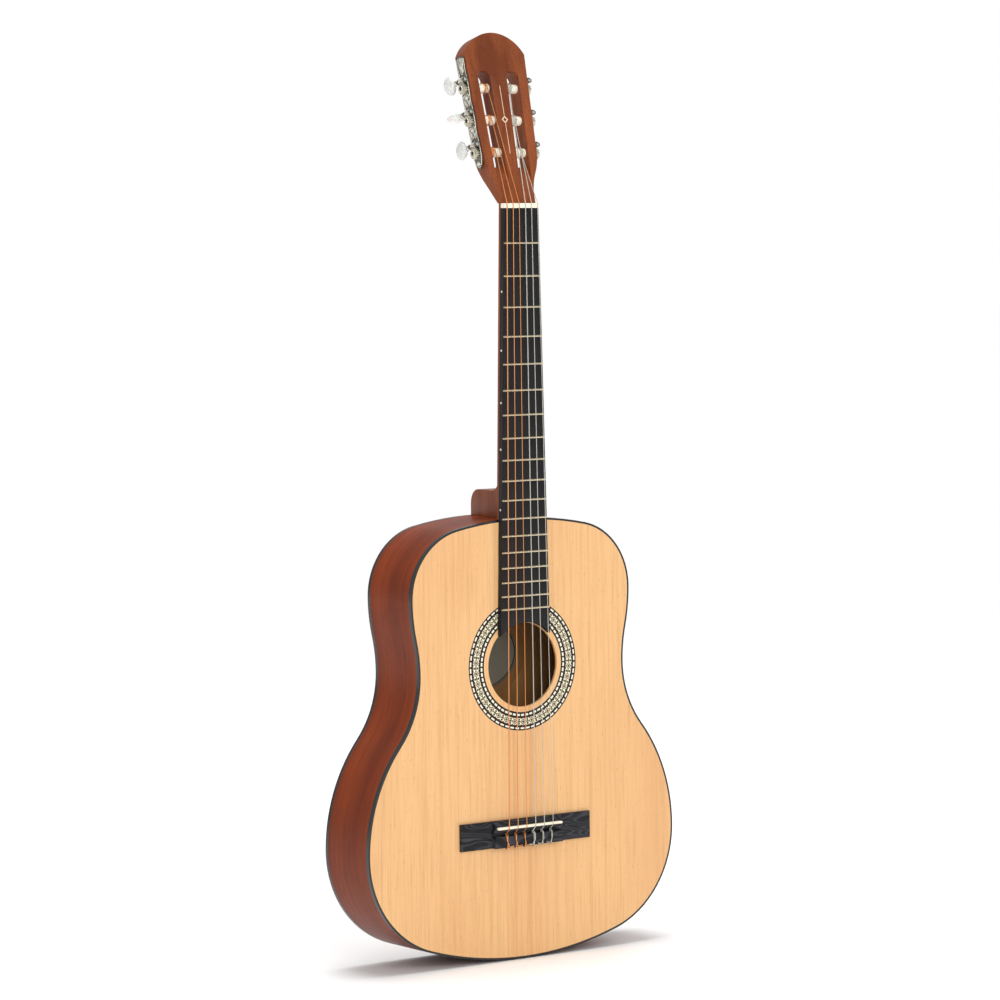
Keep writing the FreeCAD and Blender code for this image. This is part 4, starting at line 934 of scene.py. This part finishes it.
def soft_wire(points: list[Vector], radius: float, order: int = 3) -> bmesh.types.BMesh:
    """A round wire along a smooth curve, as a mesh.

    Args:
        points: The curve's control points.
        radius: The wire's radius.
        order: The curve's order.

    Returns:
        The wire.
    """
    data = bpy.data.curves.new("wire", "CURVE")
    data.dimensions = "3D"
    data.bevel_depth = radius
    data.bevel_resolution = 3
    data.use_fill_caps = True
    spline = data.splines.new("NURBS")
    spline.points.add(len(points) - 1)
    for spot, point in zip(spline.points, points):
        spot.co = (*point, 1.0)
    spline.order_u = order
    spline.use_endpoint_u = True
    spline.resolution_u = 6
    wire = bpy.data.objects.new("wire", data)
    bpy.context.scene.collection.objects.link(wire)
    mesh = bpy.data.meshes.new_from_object(wire.evaluated_get(bpy.context.evaluated_depsgraph_get()))
    shape = bmesh.new()
    shape.from_mesh(mesh)
    bmesh.ops.remove_doubles(shape, verts=shape.verts, dist=1e-7)
    bpy.data.objects.remove(wire)
    bpy.data.meshes.remove(mesh)
    bpy.data.curves.remove(data)
    return shape


def gather(target: bmesh.types.BMesh, source: bmesh.types.BMesh) -> None:
    """Add one bmesh to another and free it.

    Args:
        target: The mesh to add to.
        source: The mesh to add.
    """
    mesh = bpy.data.meshes.new("gathered")
    source.to_mesh(mesh)
    source.free()
    target.from_mesh(mesh)
    bpy.data.meshes.remove(mesh)


# ---- The guitar's sub-assemblies --------------------------------------------------------------

@dataclass
class SoundBox:
    """The hollow body: plates, sides, bindings, inner woodwork and the rosette."""

    bench: Workbench
    dressed: dict[str, str] = field(default_factory=lambda: {
        "soundboard": "spruce_top", "rosette": "rosette_mosaic", "back_plate": "mahogany_back",
        "side_bass": "mahogany_sides", "side_treble": "mahogany_sides", "top_binding": "black_binding",
        "back_binding": "black_binding", "linings": "inner_wood", "soundboard_braces": "inner_wood",
        "back_braces": "inner_wood", "neck_block": "inner_wood", "tail_block": "inner_wood",
        "label": "label_paper",
    })

    def build(self) -> None:
        """Dress the frame's own parts of the body."""
        for node, finish in self.dressed.items():
            self.bench.dress(node, finish)


@dataclass
class Bridge:
    """The bridge with its softened edges, the saddle, and a knot for each string."""

    bench: Workbench
    edge: float = 0.45 * MM
    saddle_edge: float = 0.3 * MM
    block_width: float = 12.0 * MM
    tail_length: float = 7.0 * MM
    knot_clear: float = 0.06 * MM

    def build(self) -> None:
        """Make the bridge, the saddle and the knots."""
        shape = self.bench.softened("bridge", self.edge, segments=3)
        self.bench.finish(shape, "bridge_body", "guitar", "bridge_wood", "bridge_wood", ("bridge",))
        shape = self.bench.softened("saddle", self.saddle_edge)
        self.bench.finish(shape, "saddle_bone", "guitar", "bone", "bone", ("saddle",))
        for which in range(1, 7):
            self._knot(which)

    def _knot(self, which: int) -> None:
        """Tie one string: round itself in the channel, back over the block, and tucked in.

        Args:
            which: The string's number.
        """
        radius = GuitarStrings.radius(which)
        block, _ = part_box("bridge")
        x = GuitarStrings.saddle_x(which)
        top = block.y - radius - self.knot_clear
        back = block.z
        front = back + self.block_width
        lean = 1.0 if which > 3 else -1.0
        gap = radius * 2.2
        points = [
            Vector((x, top, front - 1.5 * MM)), Vector((x, top, front + 0.4 * MM)),
            Vector((x + lean * gap, top + 1.2 * MM, front + 1.9 * MM)),
            Vector((x + lean * gap, top + 3.4 * MM, front + 2.6 * MM)),
            Vector((x - lean * gap * 0.6, top + 4.0 * MM, front + 2.9 * MM)),
            Vector((x - lean * gap, top + 1.6 * MM, front + 2.2 * MM)),
            Vector((x - lean * gap, top - gap * 0.2, front)),
            Vector((x - lean * gap * 1.1, top - gap * 0.4, front - 4 * MM)),
            Vector((x - lean * gap * 0.3, top - gap * 1.3, front - 6.5 * MM)),
            Vector((x + lean * gap * 1.2, top - gap * 0.4, back + 3 * MM)),
            Vector((x + lean * gap * 0.8, top + 0.1 * MM, back + 1.2 * MM)),
            Vector((x + lean * self.tail_length * 0.6, top - gap * 0.5, back + 0.6 * MM)),
            Vector((x + lean * self.tail_length, top - gap * 0.9, back + 1.6 * MM)),
        ]
        finish = GuitarStrings.finish_of(which)
        self.bench.finish(soft_wire(points, radius * 0.92), f"string_knot_{which}", "guitar", finish,
                          finish, facing=False)


@dataclass
class GuitarStrings:
    """The six strings between bridge and rollers."""

    bench: Workbench
    half_width: ClassVar[float] = 0.5 * MM
    wrap_play: ClassVar[float] = 0.94

    @staticmethod
    def finish_of(which: int) -> str:
        """The finish of a string: nylon for the three thin ones, wound for the others."""
        return "nylon_string" if which <= 3 else "wound_string"

    @classmethod
    def radius(cls, which: int) -> float:
        """Find a string's radius from the turns on its roller, which stand out by its diameter.

        Args:
            which: The string's number.

        Returns:
            The radius, a little thinner than the turns.
        """
        low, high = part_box(f"string_wrap_{which}")
        return (high.z - low.z - 2 * TunerUnit.roller_radius) / 4 * cls.wrap_play

    @classmethod
    def saddle_x(cls, which: int) -> float:
        """Find where a string crosses the saddle: the six are evenly spread.

        Args:
            which: The string's number.

        Returns:
            Its place along x.
        """
        treble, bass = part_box("string_1"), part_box("string_6")
        reach = max(treble[1].x, -bass[0].x) - cls.half_width
        return reach * (3.5 - which) / 2.5

    def build(self) -> None:
        """Dress the strings."""
        for which in range(1, 7):
            self.bench.dress(f"string_{which}", self.finish_of(which))


@dataclass
class Neck:
    """The neck and heel, the fretted board, the nut and the head."""

    bench: Workbench
    neck_edge: float = 1.1 * MM
    head_edge: float = 0.9 * MM
    board_edge: float = 0.35 * MM
    inlay_width: float = 0.7 * MM
    nut_edge: float = 0.35 * MM
    inlay_lift: float = 0.06 * MM
    inlay_depth: float = 0.24 * MM
    inlay_from: float = 59 * MM
    inlay_to: float = 132.5 * MM
    diamond: float = 4.2 * MM

    def build(self) -> None:
        """Make every piece of the neck."""
        bench = self.bench
        bench.finish(bench.softened("neck", self.neck_edge, segments=4, crease=32), "neck_shaft", "guitar",
                     "mahogany_neck", "mahogany_neck", ("neck",))
        bench.finish(bench.softened("headstock", self.head_edge, segments=3), "head_slotted", "guitar",
                     "mahogany_neck", "mahogany_neck", ("headstock",))
        bench.finish(bench.softened("fingerboard", self.board_edge), "board", "guitar", "black_board",
                     "black_board", ("fingerboard",))
        bench.finish(bench.softened("nut", self.nut_edge), "nut_bone", "guitar", "bone", "bone", ("nut",))
        bench.dress("frets", "fret_metal")
        bench.dress("side_dots", "dot_white")
        self._inlay()

    def _inlay(self) -> None:
        """Let a thin light line and a small open diamond into the head's face."""
        shape = bmesh.new()
        middle = (self.inlay_from + self.inlay_to) / 2
        inner = self.diamond * 0.55
        self._strip(shape, self.inlay_from, middle - self.diamond)
        self._strip(shape, middle + self.diamond, self.inlay_to)
        outline = bmesh.ops.create_circle(shape, cap_ends=False, radius=self.diamond, segments=4)["verts"]
        grown = bmesh.ops.extrude_edge_only(
            shape, edges=list({e for v in outline for e in v.link_edges}))["geom"]
        rim = [g for g in grown if isinstance(g, bmesh.types.BMVert)]
        bmesh.ops.scale(shape, vec=(inner / self.diamond,) * 3, verts=rim)
        faces = [g for g in grown if isinstance(g, bmesh.types.BMFace)]
        grown = bmesh.ops.extrude_face_region(shape, geom=faces)["geom"]
        raised = [g for g in grown if isinstance(g, bmesh.types.BMVert)]
        bmesh.ops.translate(shape, vec=(0, 0, self.inlay_depth), verts=raised)
        place = Matrix.Translation((0, self.inlay_depth - self.inlay_lift, middle))
        bmesh.ops.transform(shape, matrix=place @ Matrix.Rotation(math.pi / 2, 4, "X"),
                            verts=outline + rim + raised)
        bmesh.ops.transform(shape, matrix=head_frame(), verts=shape.verts)
        self.bench.finish(shape, "head_inlay", "guitar", "inlay_white", "bone")

    def _strip(self, shape: bmesh.types.BMesh, start: float, end: float) -> None:
        """Add a thin strip up the middle of the head's face.

        Args:
            shape: The mesh.
            start: Its lower end, measured up the face from the nut.
            end: Its upper end.
        """
        made = bmesh.ops.create_cube(shape, size=1.0)
        place = Matrix.Translation((0, self.inlay_depth / 2 - self.inlay_lift, (start + end) / 2))
        size = Matrix.Diagonal((self.inlay_width, self.inlay_depth, end - start, 1))
        bmesh.ops.transform(shape, matrix=place @ size, verts=made["verts"])


def joint_line(name: str) -> tuple[Vector, Vector]:
    """Find a joint's line.

    Args:
        name: The joint.

    Returns:
        A point on its axis, and the axis.
    """
    joint = next(joint for joint in frame["joints"] if joint["name"] == name)
    return Vector(joint["pos_m"]), Vector(joint["axis"]).normalized()


def joint_frame(which: int) -> Matrix:
    """A tuner's frame, from its roller's middle: x along the roller, y along the worm, z up the head.

    Args:
        which: The string's number.

    Returns:
        The frame.
    """
    middle, along = joint_line(f"roller_{which}_turn")
    _, back = joint_line(f"worm_{which}_turn")
    axes = Matrix((along, back, along.cross(back))).transposed().to_4x4()
    return Matrix.Translation(middle) @ axes


def head_frame() -> Matrix:
    """The head's own frame, from the nut: x across, y into the wood from its face, z up along the face.

    Returns:
        The frame.
    """
    turning = joint_frame(1)
    back, up = turning.col[1].to_3d(), turning.col[2].to_3d()
    up.x = 0.0
    axes = Matrix((Vector((1, 0, 0)), back, up.normalized())).transposed().to_4x4()
    return Matrix.Translation((0, -TunerUnit.face_rise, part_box("nut")[0].z)) @ axes


@dataclass
class TunerUnit:
    """One geared tuner: roller with its string turns, gear, threaded worm and pearl button."""

    bench: Workbench
    which: int
    roller_radius: ClassVar[float] = 5.0 * MM
    face_rise: ClassVar[float] = 2.0 * MM
    roller_depth: float = 9.0 * MM
    button_start: float = 20.5 * MM
    button_length: float = 18.0 * MM
    gear_teeth: int = 14
    mesh_radius: float = 5.5 * MM
    worm_core: float = 2.05 * MM
    worm_crest: float = 3.1 * MM
    lug_inner: tuple[float, float] = (-4.75 * MM, 4.75 * MM)
    recess_radius: float = 2.25 * MM
    roller_edge: float = 0.35 * MM
    gear_edge: float = 0.14 * MM
    worm_edge: float = 0.18 * MM
    thread_clear: float = 0.7 * MM
    wrap_turns: int = 4
    button_turns: dict[int, float] = field(default_factory=lambda: {1: 20, 2: 75, 3: 0, 4: 8, 5: 88, 6: -6})

    @property
    def side(self) -> int:
        """1 on the treble side, -1 on the bass side."""
        return 1 if self.which <= 3 else -1

    def build(self) -> None:
        """Make the unit's pieces."""
        self._roller()
        self._wrap()
        self._gear()
        self._recess_shade_disc()
        self._worm()
        self._button()

    def _worm_frame(self) -> Matrix:
        """Find the worm's frame: z along its axis, away from the head's face, level with the roller.

        Returns:
            The frame.
        """
        home = joint_frame(self.which)
        local = home.inverted() @ joint_line(f"worm_{self.which}_turn")[0]
        turn = Matrix.Rotation(-math.pi / 2, 4, "X")
        return home @ Matrix.Translation((local.x, 0, local.z)) @ turn

    def _roller(self) -> None:
        """The ivory roller, its ends softened."""
        node = f"string_roller_{self.which}"
        body = f"roller_{self.which}"
        self.bench.finish(self.bench.softened(node, self.roller_edge), body, body, "roller_plastic",
                          "roller_plastic", (node,))

    def _wrap(self) -> None:
        """The string's turns on the roller."""
        node = f"string_wrap_{self.which}"
        home = joint_frame(self.which)
        back = home.inverted()
        corners = [back @ v.co for v in frame["nodes"][node].data.vertices]
        low, high = min(c.x for c in corners), max(c.x for c in corners)
        radius = (high - low) / self.wrap_turns / 2
        start = low if self.side > 0 else high
        shape = bmesh.new()
        ring = bmesh.ops.create_circle(shape, cap_ends=False, radius=radius * 0.96, segments=10)["verts"]
        # In the helix frame z runs along the roller, so the section stands in the xz plane.
        outward = Matrix.Translation((self.roller_radius + radius * 0.97, 0, 0))
        bmesh.ops.transform(shape, matrix=outward @ Matrix.Rotation(math.pi / 2, 4, "X"), verts=ring)
        turned = Matrix.Rotation(math.pi / 2, 4, "Y") @ Matrix.Rotation(math.radians(200), 4, "Z")
        flip = Matrix.Diagonal((1, 1, self.side, 1))
        base = home @ Matrix.Translation((start + self.side * radius, 0, 0)) @ turned @ flip
        turns = self.wrap_turns - 1
        helix(shape, base, ring, -turns * self.side, radius * 2, 40)
        finish = GuitarStrings.finish_of(self.which)
        self.bench.finish(shape, f"string_turns_{self.which}", f"roller_{self.which}", finish, finish,
                          (node,), crease=60)

    def _gear(self) -> None:
        """The gear with the head of the screw that holds it."""
        node = f"worm_gear_{self.which}"
        self.bench.finish(self.bench.softened(node, self.gear_edge, segments=1), f"gear_{self.which}",
                          f"roller_{self.which}", "gear_metal", "gear_metal", (node,))

    def _recess_shade_disc(self) -> None:
        """A near-black disc on the head of the gear's screw: painted shade where the screw's recess lies.
        """
        home = joint_frame(self.which)
        back = home.inverted()
        gear = frame["nodes"][f"worm_gear_{self.which}"].data
        reach = max(self.side * (back @ v.co).x for v in gear.vertices)
        shape = bmesh.new()
        outward = home @ Matrix.Rotation(self.side * math.pi / 2, 4, "Y")
        radius = self.recess_radius
        stations = [(reach - 0.4 * MM, radius, radius), (reach + 0.02 * MM, radius, radius),
                    (reach + 0.05 * MM, radius * 0.9, radius * 0.9)]
        drawn(shape, outward, stations, segments=24)
        # The disc's near-black finish is painted shade standing for the recess.
        self.bench.finish(shape, f"gear_recess_shade_{self.which}", f"roller_{self.which}", "recess_painted_shade",
                          "gear_metal")

    def _worm(self) -> None:
        """The worm: a turned shaft with a thread that lies between the gear's teeth."""
        node = f"worm_shaft_{self.which}"
        shape = self.bench.softened(node, self.worm_edge)
        place = self._worm_frame()
        pitch = WHOLE_TURN * self.mesh_radius / self.gear_teeth
        turns = (self.lug_inner[1] - self.lug_inner[0] - 2 * self.thread_clear) / pitch
        thread = bmesh.new()
        section = [thread.verts.new((r, 0, z)) for r, z in (
            (self.worm_core - 0.3 * MM, -0.62 * MM), (self.worm_crest, -0.24 * MM),
            (self.worm_crest, 0.24 * MM), (self.worm_core - 0.3 * MM, 0.62 * MM))]
        for one, other in zip(section, section[1:] + section[:1]):
            thread.edges.new((one, other))
        # The crest faces the gear, towards -z of the tuner's frame, half way along the worm.
        toward_gear = math.pi / 2
        turn = toward_gear - self.side * WHOLE_TURN * turns / 2
        start = Matrix.Translation((0, 0, -turns * pitch / 2)) @ Matrix.Rotation(turn, 4, "Z")
        helix(thread, place @ start, section, self.side * turns, pitch, 28)
        gather(shape, thread)
        body = f"worm_{self.which}"
        self.bench.finish(shape, body, body, "tuner_nickel", "tuner_nickel", (node,))

    def _button(self) -> None:
        """The pearl button: an oval paddle with a collar where it meets the shaft."""
        node = f"tuner_button_{self.which}"
        start, length = self.button_start - self.roller_depth, self.button_length
        # Each station: its share of the length, then the half width and half thickness in millimetres.
        outline = [(0.0, 3.0, 2.6), (0.04, 3.4, 2.9), (0.10, 3.5, 3.0), (0.15, 4.6, 3.2), (0.24, 7.2, 3.6),
                   (0.36, 9.5, 3.9), (0.50, 10.4, 4.0), (0.62, 10.2, 4.0), (0.74, 9.3, 3.9),
                   (0.84, 8.1, 3.7), (0.92, 6.9, 3.2), (0.97, 5.8, 2.5), (1.0, 4.4, 1.5)]
        stations = [(start + share * length, wide * MM, deep * MM) for share, wide, deep in outline]
        shape = bmesh.new()
        turn = Matrix.Rotation(math.radians(90 - self.button_turns[self.which]), 4, "Z")
        drawn(shape, self._worm_frame() @ turn, stations, segments=36)
        piece = self.bench.finish(shape, f"button_{self.which}", f"worm_{self.which}", "button_pearl",
                                  "button_pearl", (node,), crease=70)
        rounding = piece.modifiers.new("rounding", "SUBSURF")
        rounding.levels = rounding.render_levels = 1


@dataclass
class TunerPlate:
    """One side's stamped plate: raised rim, scrolls, beads, a fluted crown and a flower at its foot."""

    bench: Workbench
    side: int
    face: float = 20.2 * MM
    pitch: float = 35.0 * MM
    depth: float = 9.0 * MM
    first: float = 62.0 * MM
    gears: int = 3
    wire: float = 0.45 * MM
    edge: float = 0.22 * MM
    collar: float = 5.6 * MM
    crown_rise: float = 17.0 * MM
    foot_drop: float = 12.5 * MM

    @property
    def label(self) -> str:
        """The plate's side in words."""
        return "treble" if self.side > 0 else "bass"

    @property
    def last(self) -> float:
        """Height of the uppermost gear's axis."""
        return self.first + (self.gears - 1) * self.pitch

    def frame(self) -> Matrix:
        """Find the plate's frame: x out of the head, y back from its face, z up along this side.

        Returns:
            The frame.
        """
        which = 1 if self.side > 0 else 6
        home = joint_frame(which)
        return home @ Matrix.Translation((0, -self.depth, -self.first))

    def build(self) -> None:
        """Make the plate and its ornament."""
        node = f"tuner_plate_{self.label}"
        shape = self.bench.softened(node, self.edge)
        self.bench.finish(shape, f"plate_{self.label}", "guitar", "plate_ground", "tuner_nickel", (node,))
        ornament = bmesh.new()
        self._rim(ornament)
        for index in range(self.gears):
            middle = self.first + index * self.pitch
            self._ring(ornament, middle, self.collar)
            if index < self.gears - 1:
                self._lyre(ornament, middle + self.pitch * 0.62)
        self._crown(ornament, self.last + self.crown_rise)
        self._foot(ornament, self.first - self.foot_drop)
        bmesh.ops.transform(ornament, matrix=self.frame(), verts=ornament.verts)
        self.bench.finish(ornament, f"plate_ornament_{self.label}", "guitar", "tuner_nickel",
                          "tuner_nickel", crease=60)

    def _spot(self, across: float, height: float) -> Vector:
        """A point on the plate's face: across from its middle line, and its height."""
        return Vector((self.side * self.face, self.depth + across, height))

    def _wire(self, target: bmesh.types.BMesh, spots: list[tuple[float, float]], radius: float) -> None:
        """Lay a half-sunk wire through spots that are each (across, height)."""
        gather(target, soft_wire([self._spot(*spot) for spot in spots], radius))

    def _bead(self, target: bmesh.types.BMesh, across: float, height: float, radius: float) -> None:
        """A half-sunk bead."""
        made = bmesh.ops.create_icosphere(target, subdivisions=2, radius=radius)
        bmesh.ops.translate(target, vec=self._spot(across, height), verts=made["verts"])

    def _rim(self, target: bmesh.types.BMesh) -> None:
        """A raised line just inside both edges, in at the waists and out at the gears.

        Args:
            target: The mesh to add to.
        """
        wide, narrow = 6.6 * MM, 5.4 * MM
        for hand in (-1, 1):
            spots = [(hand * narrow * 0.7, self.first - 13 * MM), (hand * wide, self.first - 6 * MM)]
            for index in range(self.gears):
                middle = self.first + index * self.pitch
                spots += [(hand * wide, middle + 2 * MM), (hand * wide, middle + 13 * MM),
                          (hand * narrow, middle + 21 * MM)]
            spots[-1] = (hand * narrow, self.last + 17 * MM)
            spots.append((hand * wide, self.last + 31 * MM))
            self._wire(target, spots, self.wire)

    def _ring(self, target: bmesh.types.BMesh, middle: float, radius: float) -> None:
        """A beaded collar half round a gear.

        Args:
            target: The mesh to add to.
            middle: Height of the gear's axis.
            radius: The gear's radius, which the beads stand a little outside.
        """
        for step in range(7):
            angle = math.radians(200 + step * 23.3)
            across, up = radius * 1.12 * math.cos(angle), radius * 1.12 * math.sin(angle)
            self._bead(target, across, middle + up, 0.5 * MM)

    def _lyre(self, target: bmesh.types.BMesh, middle: float) -> None:
        """Two scrolls back to back with a stem and three strings between them.

        Args:
            target: The mesh to add to.
            middle: Height of its middle.
        """
        for hand in (-1, 1):
            spiral = []
            for step in range(22):
                angle = step / 21 * math.radians(560)
                reach = (3.3 - 2.5 * step / 21) * MM
                spiral.append((hand * (2.6 * MM + reach * 0.55 * math.cos(angle)),
                               middle - 3.6 * MM + reach * math.sin(angle)))
            self._wire(target, spiral, self.wire)
            self._wire(target, [(hand * 4.2 * MM, middle - 3 * MM), (hand * 4.6 * MM, middle + 1 * MM),
                                (hand * 2.6 * MM, middle + 3.4 * MM), (hand * 3.6 * MM, middle + 6.2 * MM),
                                (hand * 4.8 * MM, middle + 5.4 * MM)], self.wire)
            self._bead(target, hand * 4.9 * MM, middle + 5.2 * MM, 0.75 * MM)
        for across in (-1.1, 0.0, 1.1):
            self._wire(target, [(across * MM, middle - 1.5 * MM), (across * MM, middle + 2 * MM),
                                (across * 1.3 * MM, middle + 5 * MM)], self.wire * 0.6)
        yoke = [(-4 * MM, middle + 6.6 * MM), (0, middle + 5.6 * MM), (4 * MM, middle + 6.6 * MM)]
        self._wire(target, yoke, self.wire)

    def _crown(self, target: bmesh.types.BMesh, low: float) -> None:
        """The fluted fan at the plate's upper end.

        Args:
            target: The mesh to add to.
            low: Height of its foot.
        """
        for step in range(-2, 3):
            foot, head = step * 1.0 * MM, step * 2.4 * MM
            flute = [(foot, low), (foot * 1.3, low + 6 * MM), (head, low + 15 * MM)]
            self._wire(target, flute, self.wire * 1.3)
        brow = [(-5.4 * MM, low + 14 * MM), (0, low + 18 * MM), (5.4 * MM, low + 14 * MM)]
        self._wire(target, brow, self.wire)
        self._bead(target, 0, low - 1.2 * MM, 1.1 * MM)

    def _foot(self, target: bmesh.types.BMesh, middle: float) -> None:
        """The small flower at the plate's lower end.

        Args:
            target: The mesh to add to.
            middle: Height of its middle.
        """
        for step in range(6):
            angle = step / 6 * WHOLE_TURN
            self._bead(target, 2.3 * MM * math.cos(angle), middle + 2.3 * MM * math.sin(angle), 0.8 * MM)
        self._bead(target, 0, middle, 0.9 * MM)


@dataclass
class PlateScrews:
    """The slotted screws that hold the plates."""

    bench: Workbench
    edge: float = 0.5 * MM

    def build(self) -> None:
        """Soften the frame's screws."""
        shape = self.bench.softened("tuner_plate_screws", self.edge, segments=3)
        self.bench.finish(shape, "plate_screws", "guitar", "tuner_nickel", "tuner_nickel",
                          ("tuner_plate_screws",))


# ---- Studio -----------------------------------------------------------------------------------

@dataclass
class Studio:
    """Pale floor, soft lights and the camera."""

    aim: Vector = field(default_factory=lambda: Vector((0, 0, 0.4764)))
    azimuth: float = -35.83
    elevation: float = 3.697
    roll: float = -0.633
    distance: float = 4.15678
    aside: float = -0.022074
    above: float = 0.009383
    lens: float = 142.3
    room_light: float = 0.55
    overhead_light: float = 1.75

    def build(self) -> None:
        """Set up everything around the guitar."""
        self._floor()
        self._world()
        self._light("key", (-0.9, -2.9, 1.5), 2.0, 36)
        self._light("rim", (1.9, 1.2, 1.9), 1.6, 16)
        self._overhead()
        self._camera()
        bpy.context.scene.view_settings.view_transform = "Standard"

    def _floor(self) -> None:
        """A wide pale floor just under the tail."""
        shape = bmesh.new()
        bmesh.ops.create_grid(shape, x_segments=1, y_segments=1, size=30)
        bmesh.ops.translate(shape, vec=(0, 0, -0.0008), verts=shape.verts)
        mesh = bpy.data.meshes.new("studio_floor")
        shape.to_mesh(mesh)
        shape.free()
        shade = Shading("studio_floor")
        shade.wear(base_color=(0.92, 0.92, 0.92, 1), roughness=0.9, specular_ior_level=0.1)
        mesh.materials.append(shade.material)
        floor = bpy.data.objects.new("studio_floor", mesh)
        bpy.context.scene.collection.objects.link(floor)

    def _world(self) -> None:
        """Soft even light from all round, with a plain white backdrop behind the guitar."""
        world = bpy.data.worlds.new("studio")
        world.use_nodes = True
        nodes, links = world.node_tree.nodes, world.node_tree.links
        room = nodes["Background"]
        room.inputs["Color"].default_value = (1, 1, 1, 1)
        room.inputs["Strength"].default_value = self.room_light
        backdrop = nodes.new("ShaderNodeBackground")
        backdrop.inputs["Color"].default_value = (1, 1, 1, 1)
        backdrop.inputs["Strength"].default_value = 1.0
        ray, mix = nodes.new("ShaderNodeLightPath"), nodes.new("ShaderNodeMixShader")
        links.new(ray.outputs["Is Camera Ray"], mix.inputs[0])
        links.new(room.outputs[0], mix.inputs[1])
        links.new(backdrop.outputs[0], mix.inputs[2])
        links.new(mix.outputs[0], nodes["World Output"].inputs["Surface"])
        bpy.context.scene.world = world

    def _overhead(self) -> None:
        """A wide soft light straight above, which keeps the floor pale to its far edge."""
        data = bpy.data.lights.new("overhead", "SUN")
        data.energy = self.overhead_light
        data.angle = math.radians(30)
        bpy.context.scene.collection.objects.link(bpy.data.objects.new("overhead", data))

    def _light(self, name: str, place: tuple[float, float, float], size: float, power: float) -> None:
        """Add a square soft light that faces the middle of the guitar.

        Args:
            name: The light's name.
            place: Where it stands.
            size: Its side in metres.
            power: Its power in watts.
        """
        data = bpy.data.lights.new(name, "AREA")
        data.shape = "SQUARE"
        data.size = size
        data.energy = power
        lamp = bpy.data.objects.new(name, data)
        lamp.location = place
        lamp.rotation_mode = "QUATERNION"
        lamp.rotation_quaternion = (self.aim - Vector(place)).to_track_quat("-Z", "Y")
        bpy.context.scene.collection.objects.link(lamp)

    def _camera(self) -> None:
        """A long lens, a little to the bass side and just above the middle."""
        turn, rise, roll = (math.radians(a) for a in (self.azimuth, self.elevation, self.roll))
        back = Vector((math.sin(turn) * math.cos(rise), -math.cos(turn) * math.cos(rise), math.sin(rise)))
        level = Vector((math.cos(turn), math.sin(turn), 0))
        upright = back.cross(level)
        right = level * math.cos(roll) + upright * math.sin(roll)
        up = upright * math.cos(roll) - level * math.sin(roll)
        data = bpy.data.cameras.new("camera")
        data.lens = self.lens
        data.sensor_width = 36.0
        camera = bpy.data.objects.new("camera", data)
        place = self.aim + right * self.aside + up * self.above + back * self.distance
        camera.matrix_world = Matrix.Translation(place) @ Matrix((right, up, back)).transposed().to_4x4()
        bpy.context.scene.collection.objects.link(camera)
        bpy.context.scene.camera = camera


def main() -> None:
    """Build the guitar and its studio."""
    logging.basicConfig(level=logging.INFO, format="%(name)s: %(message)s")
    hole_low, hole_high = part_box("rosette")
    label_low, label_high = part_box("label")
    finishes = Finishes((hole_low.z + hole_high.z) / 2, (label_low.z + label_high.z) / 2, CAD_HIGH.y)
    bench = Workbench(finishes)
    SoundBox(bench).build()
    Bridge(bench).build()
    GuitarStrings(bench).build()
    Neck(bench).build()
    for which in range(1, 7):
        TunerUnit(bench, which).build()
    for side in (-1, 1):
        TunerPlate(bench, side).build()
    PlateScrews(bench).build()
    Studio().build()
    LOG.info("%d pieces modelled", bench.count)


if __name__ == "__main__":
    main()
